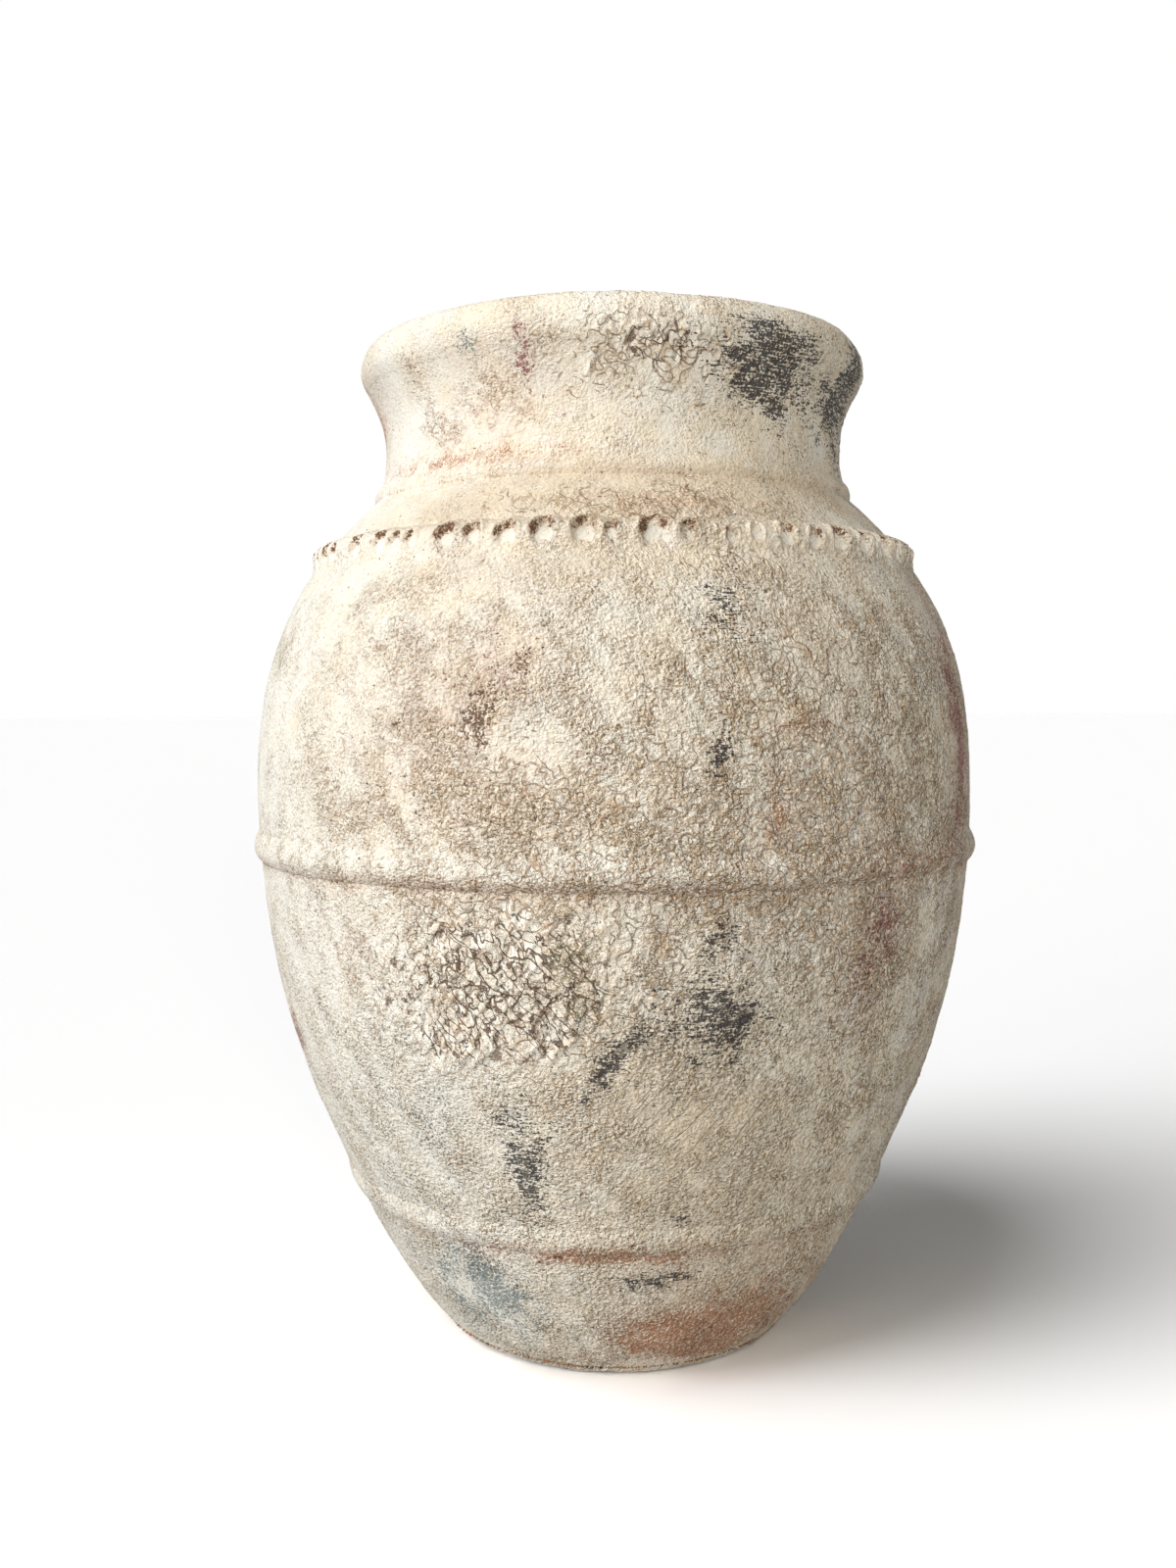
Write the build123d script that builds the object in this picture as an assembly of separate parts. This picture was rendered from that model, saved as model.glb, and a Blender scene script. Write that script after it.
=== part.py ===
"""A large coarse storage jar of fired clay, built up in sections on a base disc.

Each wall section is a ring of clay with bevelled edges, luted to the next one with slip.
Applied bands of clay cover four of the seams: a low band above the foot, a rounded band
round the belly, a finger-pressed band on the shoulder and a small ring at the neck's root.
Millimetres, +Z up, with the origin at the centre of the face that the jar stands on.
"""

from build123d import *
from math import cos, radians, sin
import os

# Base disc: the slab of clay that the wall stands on
FOOT_RADIUS = 121.5
FOOT_FLARE = 6.5
FOOT_EDGE_HEIGHT = 7.0
BASE_THICKNESS = 18.0
FLOOR_MARGIN = 17.0
FLOOR_LEAN = 62.0

# Body: the outer radius at each height that shapes the swelling wall
BODY_HEIGHT = 588.0
FOOT_LEAN = 42.0
HIP_HEIGHT = 114.0
HIP_RADIUS = 191.5
FLANK_HEIGHT = 245.0
FLANK_RADIUS = 239.5
BELLY_HEIGHT = 382.0
BELLY_RADIUS = 255.3
UPPER_FLANK_DROP = 113.0
UPPER_FLANK_RADIUS = 245.0
SHOULDER_DROP = 39.0
SHOULDER_RADIUS = 207.8
NECK_ROOT_RADIUS = 171.5
NECK_ROOT_LEAN = -47.0
WALL = 15.0

# Neck and lip: a waisted collar with a straight bore and a rolled lip on top
NECK_HEIGHT = 78.0
THROAT_RISE = 34.0
THROAT_RADIUS = 163.5
NECK_WALL = 14.5
BORE_LENGTH = 40.0
LIP_ROOT_RADIUS = 174.5
LIP_HEIGHT = 34.0
LIP_BULGE_RADIUS = 179.5
LIP_BULGE_DROP = 19.0
LIP_FLAT_RADIUS = 168.5
LIP_FLAT_WIDTH = 10.0

# Seams: how far each bevelled edge turns up from square to the wall, towards the inside
SEAM_BEVEL = 22.0
LIP_SEAM_BEVEL = 10.0

# Applied bands: width along the wall, and how far each stands proud of it
LOWER_BAND_WIDTH = 23.0
LOWER_BAND_PROUD = 2.8
BELLY_BAND_HEIGHT = 351.0
BELLY_BAND_WIDTH = 22.0
BELLY_BAND_PROUD = 4.4
NECK_RING_RISE = 7.0
NECK_RING_WIDTH = 13.0
NECK_RING_PROUD = 2.6
THUMBED_BAND_WIDTH = 29.0
THUMBED_BAND_PROUD = 6.4

# The film of slip that beds each band on the wall, and how far a band's section reaches
# towards the wall before it is trimmed to that film
SLIP_BED = 0.2
BAND_ROOT = 6.0

# Finger impressions pressed into the shoulder band, a little below its crown, all the way round
IMPRESSION_COUNT = 60
FINGERTIP_RADIUS = 9.0
IMPRESSION_DEPTH = 3.4
IMPRESSION_DROP = 10.0

# Heights and radii that follow from the sizes above
lip_root = BODY_HEIGHT + NECK_HEIGHT
jar_height = lip_root + LIP_HEIGHT
shoulder_height = BODY_HEIGHT - SHOULDER_DROP
upper_flank_height = BODY_HEIGHT - UPPER_FLANK_DROP
throat_height = BODY_HEIGHT + THROAT_RISE
bore_radius = THROAT_RADIUS - NECK_WALL
bore_bottom = throat_height - BORE_LENGTH / 2
bore_top = throat_height + BORE_LENGTH / 2


def point(radius: float, height: float) -> Vector:
    """Return a point of the jar's half section, which lies in the XZ plane."""
    return Vector(radius, 0, height)


def heading(lean: float) -> Vector:
    """Return the upward direction that leans out from vertical by an angle in degrees."""
    return Vector(sin(radians(lean)), 0, cos(radians(lean)))


def turned(direction: Vector, angle: float) -> Vector:
    """Return a direction of the half section turned from +X towards +Z, in degrees."""
    across, along = cos(radians(angle)), sin(radians(angle))
    return Vector(
        across * direction.X - along * direction.Z,
        0,
        along * direction.X + across * direction.Z,
    )


def place_on(curve: Edge, height: float) -> tuple[Vector, Vector]:
    """Return the point of a rising curve at a height, and the direction out of the wall there."""
    low, high = 0.0, 1.0
    while high - low > 1e-9:
        middle = (low + high) / 2
        if curve.position_at(middle).Z < height:
            low = middle
        else:
            high = middle
    rising = curve.tangent_at(low)
    return curve.position_at(low), turned(rising, -90)


def outer_curves() -> tuple[Edge, Edge, Edge]:
    """Return the outer face of the body, the neck and the lip, each from below upwards."""
    neck_root = point(NECK_ROOT_RADIUS, BODY_HEIGHT)
    lip_seat = point(LIP_ROOT_RADIUS, lip_root)
    body = Spline(
        point(FOOT_RADIUS + FOOT_FLARE, FOOT_EDGE_HEIGHT),
        point(HIP_RADIUS, HIP_HEIGHT),
        point(FLANK_RADIUS, FLANK_HEIGHT),
        point(BELLY_RADIUS, BELLY_HEIGHT),
        point(UPPER_FLANK_RADIUS, upper_flank_height),
        point(SHOULDER_RADIUS, shoulder_height),
        neck_root,
        tangents=[heading(FOOT_LEAN), heading(NECK_ROOT_LEAN)],
    )
    neck = ThreePointArc(neck_root, point(THROAT_RADIUS, throat_height), lip_seat)
    lip = ThreePointArc(
        lip_seat,
        point(LIP_BULGE_RADIUS, jar_height - LIP_BULGE_DROP),
        point(LIP_FLAT_RADIUS, jar_height),
    )
    return body, neck, lip


def inner_curves(body: Edge) -> tuple[Edge, Edge, Edge]:
    """Return the inner face of the body, the straight bore and the flare up to the lip."""
    heights = [
        (BASE_THICKNESS + HIP_HEIGHT) / 2,
        HIP_HEIGHT,
        FLANK_HEIGHT,
        BELLY_HEIGHT,
        upper_flank_height,
        shoulder_height,
        BODY_HEIGHT,
    ]
    stations = []
    for height in heights:
        on_face, out = place_on(body, height)
        stations.append(on_face - out * WALL)
    inside = Spline(
        point(FOOT_RADIUS + FOOT_FLARE - FLOOR_MARGIN, BASE_THICKNESS),
        *stations,
        point(bore_radius, bore_bottom),
        tangents=[heading(FLOOR_LEAN), heading(0)],
    )
    bore = Line(point(bore_radius, bore_bottom), point(bore_radius, bore_top))
    flare = TangentArc(
        bore @ 1,
        point(LIP_FLAT_RADIUS - LIP_FLAT_WIDTH, jar_height),
        tangent=heading(0),
    )
    return inside, bore, flare


def seam_plane(curve: Edge, height: float, bevel: float) -> Plane:
    """Return the plane, seen edge on in the half section, that cuts the wall at a seam.

    It meets the outer face at the given height and rises inwards from square by the bevel.
    """
    on_face, out = place_on(curve, height)
    return Plane(origin=on_face, x_dir=(0, 1, 0), z_dir=turned(out, 90 - bevel))


def ring(section: Face) -> Solid:
    """Return the solid that a half section sweeps round the jar's axis."""
    return revolve(section, axis=Axis.Z).solid()


def base_disc() -> Face:
    """Return the half section of the base: a slab whose bevelled margin takes the wall."""
    return Face(
        Wire.make_polygon(
            [
                point(0, 0),
                point(FOOT_RADIUS, 0),
                point(FOOT_RADIUS + FOOT_FLARE, FOOT_EDGE_HEIGHT),
                point(FOOT_RADIUS + FOOT_FLARE - FLOOR_MARGIN, BASE_THICKNESS),
                point(0, BASE_THICKNESS),
            ]
        )
    )


def wall_section(outer: tuple[Edge, Edge, Edge], inner: tuple[Edge, Edge, Edge]) -> Face:
    """Return the half section of the whole wall, from the base disc's margin to the lip."""
    top = Line(outer[2] @ 1, inner[2] @ 1)
    margin = Line(inner[0] @ 0, outer[0] @ 0)
    return Face(Wire([*outer, top, *inner, margin]))


def filled_section(outer: tuple[Edge, Edge, Edge]) -> Face:
    """Return the half section of the jar as if it were solid, which the bands are trimmed to."""
    foot, top = outer[0] @ 0, outer[2] @ 1
    closing = Polyline(top, point(0, top.Z), point(0, foot.Z), foot)
    return Face(Wire([*outer, *closing.edges()]))


def band_crown(curve: Edge, height: float, width: float, proud: float) -> Edge:
    """Return the arc that rounds a band's face, from its lower edge on the wall to its upper one."""
    on_face, out = place_on(curve, height)
    bed = on_face + out * SLIP_BED
    reach = turned(out, 90) * width / 2
    return ThreePointArc(bed - reach, bed + out * proud, bed + reach)


def band_on_wall(crown: Edge, filled: Face) -> Solid:
    """Return a band of clay with a rounded face, trimmed to the film of slip on the wall behind it."""
    out = (crown @ 0.5 - crown.arc_center).normalized()
    inward = out * -BAND_ROOT
    root = Polyline(crown @ 1, crown @ 1 + inward, crown @ 0 + inward, crown @ 0)
    bed = Pos(out * SLIP_BED) * filled
    return ring((Face(Wire([crown, *root.edges()])) - bed).face())


def thumbed(band: Solid, crown: Edge) -> Solid:
    """Return a band with a row of fingertip impressions pressed into its face."""
    out = (crown @ 0.5 - crown.arc_center).normalized()
    reach = crown.radius + FINGERTIP_RADIUS - IMPRESSION_DEPTH
    fingertip = Pos(crown.arc_center + turned(out, -IMPRESSION_DROP) * reach) * Sphere(FINGERTIP_RADIUS)
    turns = [Rot(Z=360 * step / IMPRESSION_COUNT) for step in range(IMPRESSION_COUNT)]
    return (band - [turn * fingertip for turn in turns]).solid()


def sections_between(wall: Face, seams: list[Plane]) -> list[Face]:
    """Return the wall's half section cut at each seam, from the lowest section to the lip."""
    pieces = []
    rest = wall
    for seam in seams:
        pieces.append(rest.split(seam, keep=Keep.BOTTOM).face())
        rest = rest.split(seam, keep=Keep.TOP).face()
    return [*pieces, rest]


def build() -> dict[str, Solid]:
    """Return every piece of the jar under its own name, in place."""
    outer = outer_curves()
    body, neck, _ = outer
    filled = filled_section(outer)
    lower_seam = (HIP_HEIGHT + BELLY_BAND_HEIGHT) / 2
    upper_seam = (BELLY_BAND_HEIGHT + shoulder_height) / 2
    neck_seam = BODY_HEIGHT + NECK_RING_RISE
    seams = [
        seam_plane(body, HIP_HEIGHT, SEAM_BEVEL),
        seam_plane(body, lower_seam, SEAM_BEVEL),
        seam_plane(body, BELLY_BAND_HEIGHT, SEAM_BEVEL),
        seam_plane(body, upper_seam, SEAM_BEVEL),
        seam_plane(body, shoulder_height, SEAM_BEVEL),
        seam_plane(neck, neck_seam, SEAM_BEVEL),
        seam_plane(neck, lip_root, LIP_SEAM_BEVEL),
    ]
    names = [
        "foot_wall",
        "hip_wall",
        "lower_belly_wall",
        "upper_belly_wall",
        "upper_wall",
        "shoulder_wall",
        "neck_collar",
        "rim_lip",
    ]
    wall = wall_section(outer, inner_curves(body))
    pieces = {"base_disc": ring(base_disc())}
    for name, section in zip(names, sections_between(wall, seams)):
        pieces[name] = ring(section)
    crowns = {
        "lower_band": band_crown(body, HIP_HEIGHT, LOWER_BAND_WIDTH, LOWER_BAND_PROUD),
        "belly_band": band_crown(body, BELLY_BAND_HEIGHT, BELLY_BAND_WIDTH, BELLY_BAND_PROUD),
        "thumbed_band": band_crown(body, shoulder_height, THUMBED_BAND_WIDTH, THUMBED_BAND_PROUD),
        "neck_ring": band_crown(neck, neck_seam, NECK_RING_WIDTH, NECK_RING_PROUD),
    }
    for name, crown in crowns.items():
        pieces[name] = band_on_wall(crown, filled)
    pieces["thumbed_band"] = thumbed(pieces["thumbed_band"], crowns["thumbed_band"])
    return pieces


def main() -> None:
    """Write one file for each piece."""
    os.makedirs("parts", exist_ok=True)
    for name, solid in build().items():
        export_step(solid, f"parts/{name}.step")


if __name__ == "__main__":
    main()
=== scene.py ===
"""The looks of a large storage jar: coarse clay sections and bands under a worn lime coat."""

import logging
import math
from dataclasses import asdict, dataclass
from enum import Enum
from typing import ClassVar, Union

import bmesh
import bpy
import numpy as np
from mathutils import Matrix, Vector


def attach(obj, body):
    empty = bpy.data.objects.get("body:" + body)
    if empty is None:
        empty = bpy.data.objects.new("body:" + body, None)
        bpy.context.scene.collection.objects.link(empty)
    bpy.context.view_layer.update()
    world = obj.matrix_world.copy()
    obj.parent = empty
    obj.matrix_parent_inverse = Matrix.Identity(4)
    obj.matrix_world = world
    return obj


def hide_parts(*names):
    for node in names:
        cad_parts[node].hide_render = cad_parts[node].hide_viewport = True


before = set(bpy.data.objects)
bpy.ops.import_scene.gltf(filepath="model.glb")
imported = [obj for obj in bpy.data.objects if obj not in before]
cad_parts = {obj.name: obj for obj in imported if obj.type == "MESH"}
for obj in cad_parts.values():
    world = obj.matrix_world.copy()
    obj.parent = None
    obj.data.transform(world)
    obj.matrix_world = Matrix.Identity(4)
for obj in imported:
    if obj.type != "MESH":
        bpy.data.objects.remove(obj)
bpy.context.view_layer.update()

log = logging.getLogger("jar")
BODY = "root"
MM = 0.001
Span = Point = tuple[float, float]
Triple = tuple[float, float, float]


class Pigment(Enum):
    """What lies on the coat or shapes it, and in a few places painted light and shade; each one is
    a vertex attribute of that name.
    """

    SOOT = "soot"
    RUST = "rust"
    WINE = "wine"
    SLATE = "slate"
    BLUSH = "blush"
    LIME = "lime"
    MOSS = "moss"
    UMBER = "umber"
    TAN = "tan"
    CRUST = "crust"
    FOLD = "fold"
    SCRAPE = "scrape"
    HOLLOW = "hollow"
    RIDGE = "ridge"
    DIP = "dip"
    GRIT = "grit"


class ClaySlot(Enum):
    """The record's material slots."""

    WALL = "wall_clay"
    BAND = "band_clay"


def smooth_step(low: float, high: float, value: np.ndarray) -> np.ndarray:
    """Return 0 below low, 1 above high and an eased value between."""
    share = np.clip((value - low) / (high - low), 0.0, 1.0)
    return share * share * (3 - 2 * share)


class GradientNoise:
    """Smooth seeded noise in space, from about -1 to 1, with features one unit across."""

    TABLE = 256
    GAIN = 1.7
    SHIFT = 17.3

    def __init__(self, seed: int) -> None:
        """Draw the table of slopes.

        Args:
            seed: fixes the draw, so that the jar comes out the same each time.
        """
        draws = np.random.default_rng(seed)
        self.order = draws.permutation(self.TABLE)
        slopes = draws.normal(size=(self.TABLE, 3))
        self.slopes = slopes / np.linalg.norm(slopes, axis=1, keepdims=True)

    def pick(self, cell: np.ndarray) -> np.ndarray:
        """Return a table index for each whole-number cell."""
        last = self.TABLE - 1
        first = self.order[cell[:, 0] & last]
        second = self.order[(first + cell[:, 1]) & last]
        return self.order[(second + cell[:, 2]) & last]

    def sample(self, points: np.ndarray) -> np.ndarray:
        """Return the noise at each point."""
        cell = np.floor(points).astype(np.int64)
        inside = points - cell
        ease = inside**3 * (inside * (inside * 6 - 15) + 10)
        total = np.zeros(len(points))
        for corner in np.ndindex(2, 2, 2):
            offset = np.array(corner)
            slope = self.slopes[self.pick(cell + offset)]
            weight = np.prod(np.where(offset, ease, 1 - ease), axis=1)
            total += weight * np.einsum("ij,ij->i", slope, inside - offset)
        return total * self.GAIN

    def fractal(self, points: np.ndarray, octaves: int, keep: float = 0.5) -> np.ndarray:
        """Return several octaves of the noise added up.

        Args:
            points: where, in units of the largest feature.
            octaves: how many, each half the size of the one before.
            keep: how strong each octave is beside the one before.

        Returns:
            The sum at each point.
        """
        total = np.zeros(len(points))
        for octave in range(octaves):
            total += keep**octave * self.sample(points * 2.0**octave + octave * self.SHIFT)
        return total


class CellNoise(GradientNoise):
    """Seeded cells, as cracked or flaking plates make them."""

    FAR = 9.0
    WANDER = 0.45
    UNEVEN = 0.3

    def plates(self, points: np.ndarray) -> tuple[np.ndarray, np.ndarray, np.ndarray]:
        """Return where each point lies in its plate.

        Args:
            points: where, in units of one plate.

        Returns:
            The distance to the plate's edge, how high the plate stands from 0 to 1, and how
            far the point lies from the plate's middle.
        """
        home = np.floor(points).astype(np.int64)
        nearest = np.full(len(points), self.FAR)
        second = np.full(len(points), self.FAR)
        stand = np.zeros(len(points))
        reach = np.zeros_like(points)
        for offset in np.ndindex(3, 3, 3):
            cell = home + np.array(offset) - 1
            index = self.pick(cell)
            middle = cell + 0.5 + self.WANDER * self.slopes[index]
            away = points - middle
            distance = np.linalg.norm(away, axis=1) - self.UNEVEN * self.slopes[index, 0]
            closer = distance < nearest
            second = np.where(closer, nearest, np.minimum(second, distance))
            nearest = np.where(closer, distance, nearest)
            stand = np.where(closer, index / self.TABLE, stand)
            reach = np.where(closer[:, None], away, reach)
        return second - nearest, stand, reach


@dataclass(frozen=True)
class Weave:
    """One use of a noise.

    The size of its features is in metres, and the shift keeps it unlike the noise's other uses.
    """

    size: float
    octaves: int = 1
    shift: float = 0.0

    def over(self, noise: GradientNoise, places: np.ndarray) -> np.ndarray:
        """Return the noise at some places."""
        return noise.fractal(places / self.size + self.shift, self.octaves)


def crests(noise: np.ndarray, sharp: float) -> np.ndarray:
    """Return crests from 0 to 1 that wind about, narrower the sharper they are."""
    return np.clip(1 - sharp * np.abs(noise), 0, 1)


@dataclass(frozen=True)
class JarSizes:
    """The half section of the jar, in metres: radius and height pairs, and thicknesses."""

    foot: Point = (0.1215, 0.0)
    foot_edge: Point = (0.128, 0.007)
    hip: Point = (0.1915, 0.114)
    flank: Point = (0.2395, 0.245)
    belly: Point = (0.2553, 0.382)
    upper_flank: Point = (0.245, 0.475)
    shoulder: Point = (0.2078, 0.549)
    neck_root: Point = (0.1715, 0.588)
    throat: Point = (0.1635, 0.622)
    lip_root: Point = (0.1745, 0.666)
    lip_bulge: Point = (0.1795, 0.681)
    lip_top: Point = (0.1685, 0.700)
    mouth_edge: Point = (0.1585, 0.700)
    bore_top: Point = (0.149, 0.642)
    bore_bottom: Point = (0.149, 0.602)
    floor_edge: Point = (0.111, 0.018)
    wall: float = 0.015
    foot_lean: float = 42.0
    neck_root_lean: float = -47.0
    floor_lean: float = 62.0
    mid_foot: float = 0.066
    seam_bevel: float = 22.0
    lip_seam_bevel: float = 10.0
    lower_seam: float = 0.2325
    belly_seam: float = 0.351
    upper_seam: float = 0.450
    neck_seam: float = 0.595


SIZES = JarSizes()


def heading(lean: float) -> np.ndarray:
    """Return the upward direction of the half section that leans out by an angle in degrees."""
    return np.array([math.sin(math.radians(lean)), math.cos(math.radians(lean))])


def turned(across: np.ndarray, up: np.ndarray, lean: float) -> tuple[np.ndarray, np.ndarray]:
    """Return lengths across and up as measured along axes that lean by an angle in degrees."""
    side, rise = heading(lean)
    return across * rise - up * side, across * side + up * rise


class Trace:
    """A smooth line of the half section, kept as closely spaced points in order."""

    SPACING = 0.25 * MM

    def __init__(self, points: np.ndarray) -> None:
        """Keep the points and measure the run along them."""
        self.points = points
        steps = np.linalg.norm(np.diff(points, axis=0), axis=1)
        self.run = np.concatenate([[0.0], np.cumsum(steps)])
        self.slope = np.gradient(points, self.run, axis=0)

    @property
    def length(self) -> float:
        """The whole run."""
        return float(self.run[-1])

    def between(self, rows: np.ndarray, run: np.ndarray) -> np.ndarray:
        """Return rows that belong to the points, read between the points at some runs."""
        return np.stack([np.interp(run, self.run, column) for column in rows.T], axis=1)

    def at(self, run: np.ndarray) -> np.ndarray:
        """Return the points at some runs."""
        return self.between(self.points, run)

    def out(self, run: np.ndarray) -> np.ndarray:
        """Return the unit directions out of the wall at some runs of a rising line."""
        along = self.between(self.slope, run)
        along /= np.linalg.norm(along, axis=1, keepdims=True)
        return np.stack([along[:, 1], -along[:, 0]], axis=1)

    def run_at(self, height: float) -> float:
        """Return the run at a height of a rising line."""
        return float(np.interp(height, self.points[:, 1], self.run))

    @classmethod
    def spline(cls, points: list, start: np.ndarray, end: np.ndarray) -> "Trace":
        """Return the smooth curve through some points.

        Args:
            points: the points, in order.
            start: the direction at the first point.
            end: the direction at the last one.
        """
        knots = np.array(points)
        gaps = np.linalg.norm(np.diff(knots, axis=0), axis=1)
        rates = np.diff(knots, axis=0) / gaps[:, None]
        count = len(knots)
        system = np.eye(count)
        wanted = np.zeros((count, 2))
        wanted[0], wanted[-1] = start, end
        for i in range(1, count - 1):
            system[i, i - 1 : i + 2] = gaps[i], 2 * (gaps[i - 1] + gaps[i]), gaps[i - 1]
            wanted[i] = 3 * (gaps[i] * rates[i - 1] + gaps[i - 1] * rates[i])
        slopes = np.linalg.solve(system, wanted)
        places = []
        for i, gap in enumerate(gaps):
            share = np.linspace(0, 1, int(gap / cls.SPACING), endpoint=False)[:, None]
            rise = share * share * (3 - 2 * share)
            leave = share * (1 - share) ** 2 * gap
            arrive = share * share * (share - 1) * gap
            bow = leave * slopes[i] + arrive * slopes[i + 1]
            places.append((1 - rise) * knots[i] + rise * knots[i + 1] + bow)
        return cls(np.vstack([*places, knots[-1:]]))

    @classmethod
    def arc(cls, start: tuple, middle: tuple, end: tuple) -> "Trace":
        """Return the round arc through three points."""
        a, b, c = (np.array(p) for p in (start, middle, end))
        centre = np.linalg.solve(2 * np.array([b - a, c - a]), [b @ b - a @ a, c @ c - a @ a])
        angles = np.unwrap([math.atan2(*(p - centre)[::-1]) for p in (a, b, c)])
        radius = np.linalg.norm(a - centre)
        count = int(radius * abs(angles[2] - angles[0]) / cls.SPACING)
        sweep = np.linspace(angles[0], angles[2], count)
        return cls(centre + radius * np.stack([np.cos(sweep), np.sin(sweep)], axis=1))

    @classmethod
    def line(cls, *points: tuple) -> "Trace":
        """Return straight runs through some points."""
        rough = cls(np.array(points))
        return cls(rough.at(np.linspace(0, rough.length, int(rough.length / cls.SPACING))))

    @classmethod
    def joined(cls, *traces: "Trace") -> "Trace":
        """Return several lines end to end as one."""
        points = np.vstack([traces[0].points, *[t.points[1:] for t in traces[1:]]])
        return cls(points)

    def softened(self, radius: float) -> "Trace":
        """Return the line with its corners worn round, and its ends where they were."""
        even = self.at(np.linspace(0, self.length, int(self.length / self.SPACING)))
        reach = int(3 * radius / self.SPACING)
        weights = np.exp(-0.5 * (np.arange(-reach, reach + 1) * self.SPACING / radius) ** 2)
        before = 2 * even[0] - even[reach:0:-1]
        after = 2 * even[-1] - even[-2 : -reach - 2 : -1]
        padded = np.vstack([before, even, after])
        worn = [np.convolve(padded[:, i], weights / weights.sum(), "valid") for i in (0, 1)]
        return Trace(np.stack(worn, axis=1))


class Outline:
    """The jar's outer and inner faces in the half section."""

    LIP_WEAR = 2.2 * MM

    def __init__(self, sizes: JarSizes) -> None:
        """Lay out the faces.

        Args:
            sizes: the half section's sizes.
        """
        knots = [
            sizes.foot_edge,
            sizes.hip,
            sizes.flank,
            sizes.belly,
            sizes.upper_flank,
            sizes.shoulder,
            sizes.neck_root,
        ]
        body = Trace.spline(knots, heading(sizes.foot_lean), heading(sizes.neck_root_lean))
        neck = Trace.arc(sizes.neck_root, sizes.throat, sizes.lip_root)
        self.outer = Trace.joined(body, neck)
        heights = [sizes.mid_foot, *(height for _, height in knots[1:])]
        runs = np.array([body.run_at(height) for height in heights])
        stations = body.at(runs) - sizes.wall * body.out(runs)
        inside = Trace.spline(
            [sizes.floor_edge, *stations, sizes.bore_bottom],
            heading(sizes.floor_lean),
            heading(0),
        )
        bore = Trace.line(sizes.bore_bottom, sizes.bore_top)
        reach = np.array(sizes.mouth_edge) - np.array(sizes.bore_top)
        radius = (reach @ reach) / (2 * reach[0])
        turn = math.atan2(reach[1], radius - reach[0]) / 2
        bend = (
            sizes.bore_top[0] + radius * (1 - math.cos(turn)),
            sizes.bore_top[1] + radius * math.sin(turn),
        )
        flare = Trace.arc(sizes.bore_top, bend, sizes.mouth_edge)
        self.inner = Trace.joined(inside, bore, flare)
        over = Trace.joined(
            Trace.arc(sizes.lip_root, sizes.lip_bulge, sizes.lip_top),
            Trace.line(sizes.lip_top, sizes.mouth_edge),
            Trace(flare.points[::-1]),
        )
        self.lip = over.softened(self.LIP_WEAR)


@dataclass(frozen=True)
class Stain:
    """A patch of one pigment on the coat; a few patches stand for painted light and shade.

    Angles are in degrees round the jar from the front, to the right. Sizes are in metres, and
    the tilt leans the patch's top to the right, in degrees.
    """

    pigment: Pigment
    angle: float
    height: float
    width: float
    length: float
    tilt: float = 0.0
    strength: float = 1.0

    REACH: ClassVar[float] = 2.6
    EDGE: ClassVar[float] = 0.7
    FADE: ClassVar[float] = 0.9
    FADE_POWER: ClassVar[float] = 1.8
    FRAY: ClassVar[float] = 0.62
    FRAY_SIZE: ClassVar[float] = 0.35
    FRAY_SIZES: ClassVar[Span] = (6 * MM, 30 * MM)
    FRAY_OCTAVES: ClassVar[int] = 3
    FRAY_KEEP: ClassVar[float] = 0.6
    FRAY_SHIFT: ClassVar[float] = 99.0

    def weight(self, coat: "CoatPoints", rag: GradientNoise) -> np.ndarray:
        """Return how much of the patch lies at each point, ragged and fading from its middle.

        Args:
            coat: the points.
            rag: the noise that frays the patch.
        """
        u, v = turned(coat.across(self.angle), coat.height - self.height, self.tilt)
        far = np.hypot(u / (self.width / 2), v / (self.length / 2))
        near = far < self.REACH
        least, most = self.FRAY_SIZES
        grain = min(max(self.FRAY_SIZE * math.sqrt(self.width * self.length), least), most)
        places = coat.places[near] / grain + self.height * self.FRAY_SHIFT
        frayed = self.FRAY * rag.fractal(places, self.FRAY_OCTAVES, self.FRAY_KEEP)
        spent = np.clip(far[near] + frayed, 0, None) ** self.FADE_POWER
        made = np.zeros(len(far))
        made[near] = self.strength * np.exp(-self.FADE * spent)
        return made * (1 - smooth_step(self.EDGE * self.REACH, self.REACH, far))


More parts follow.
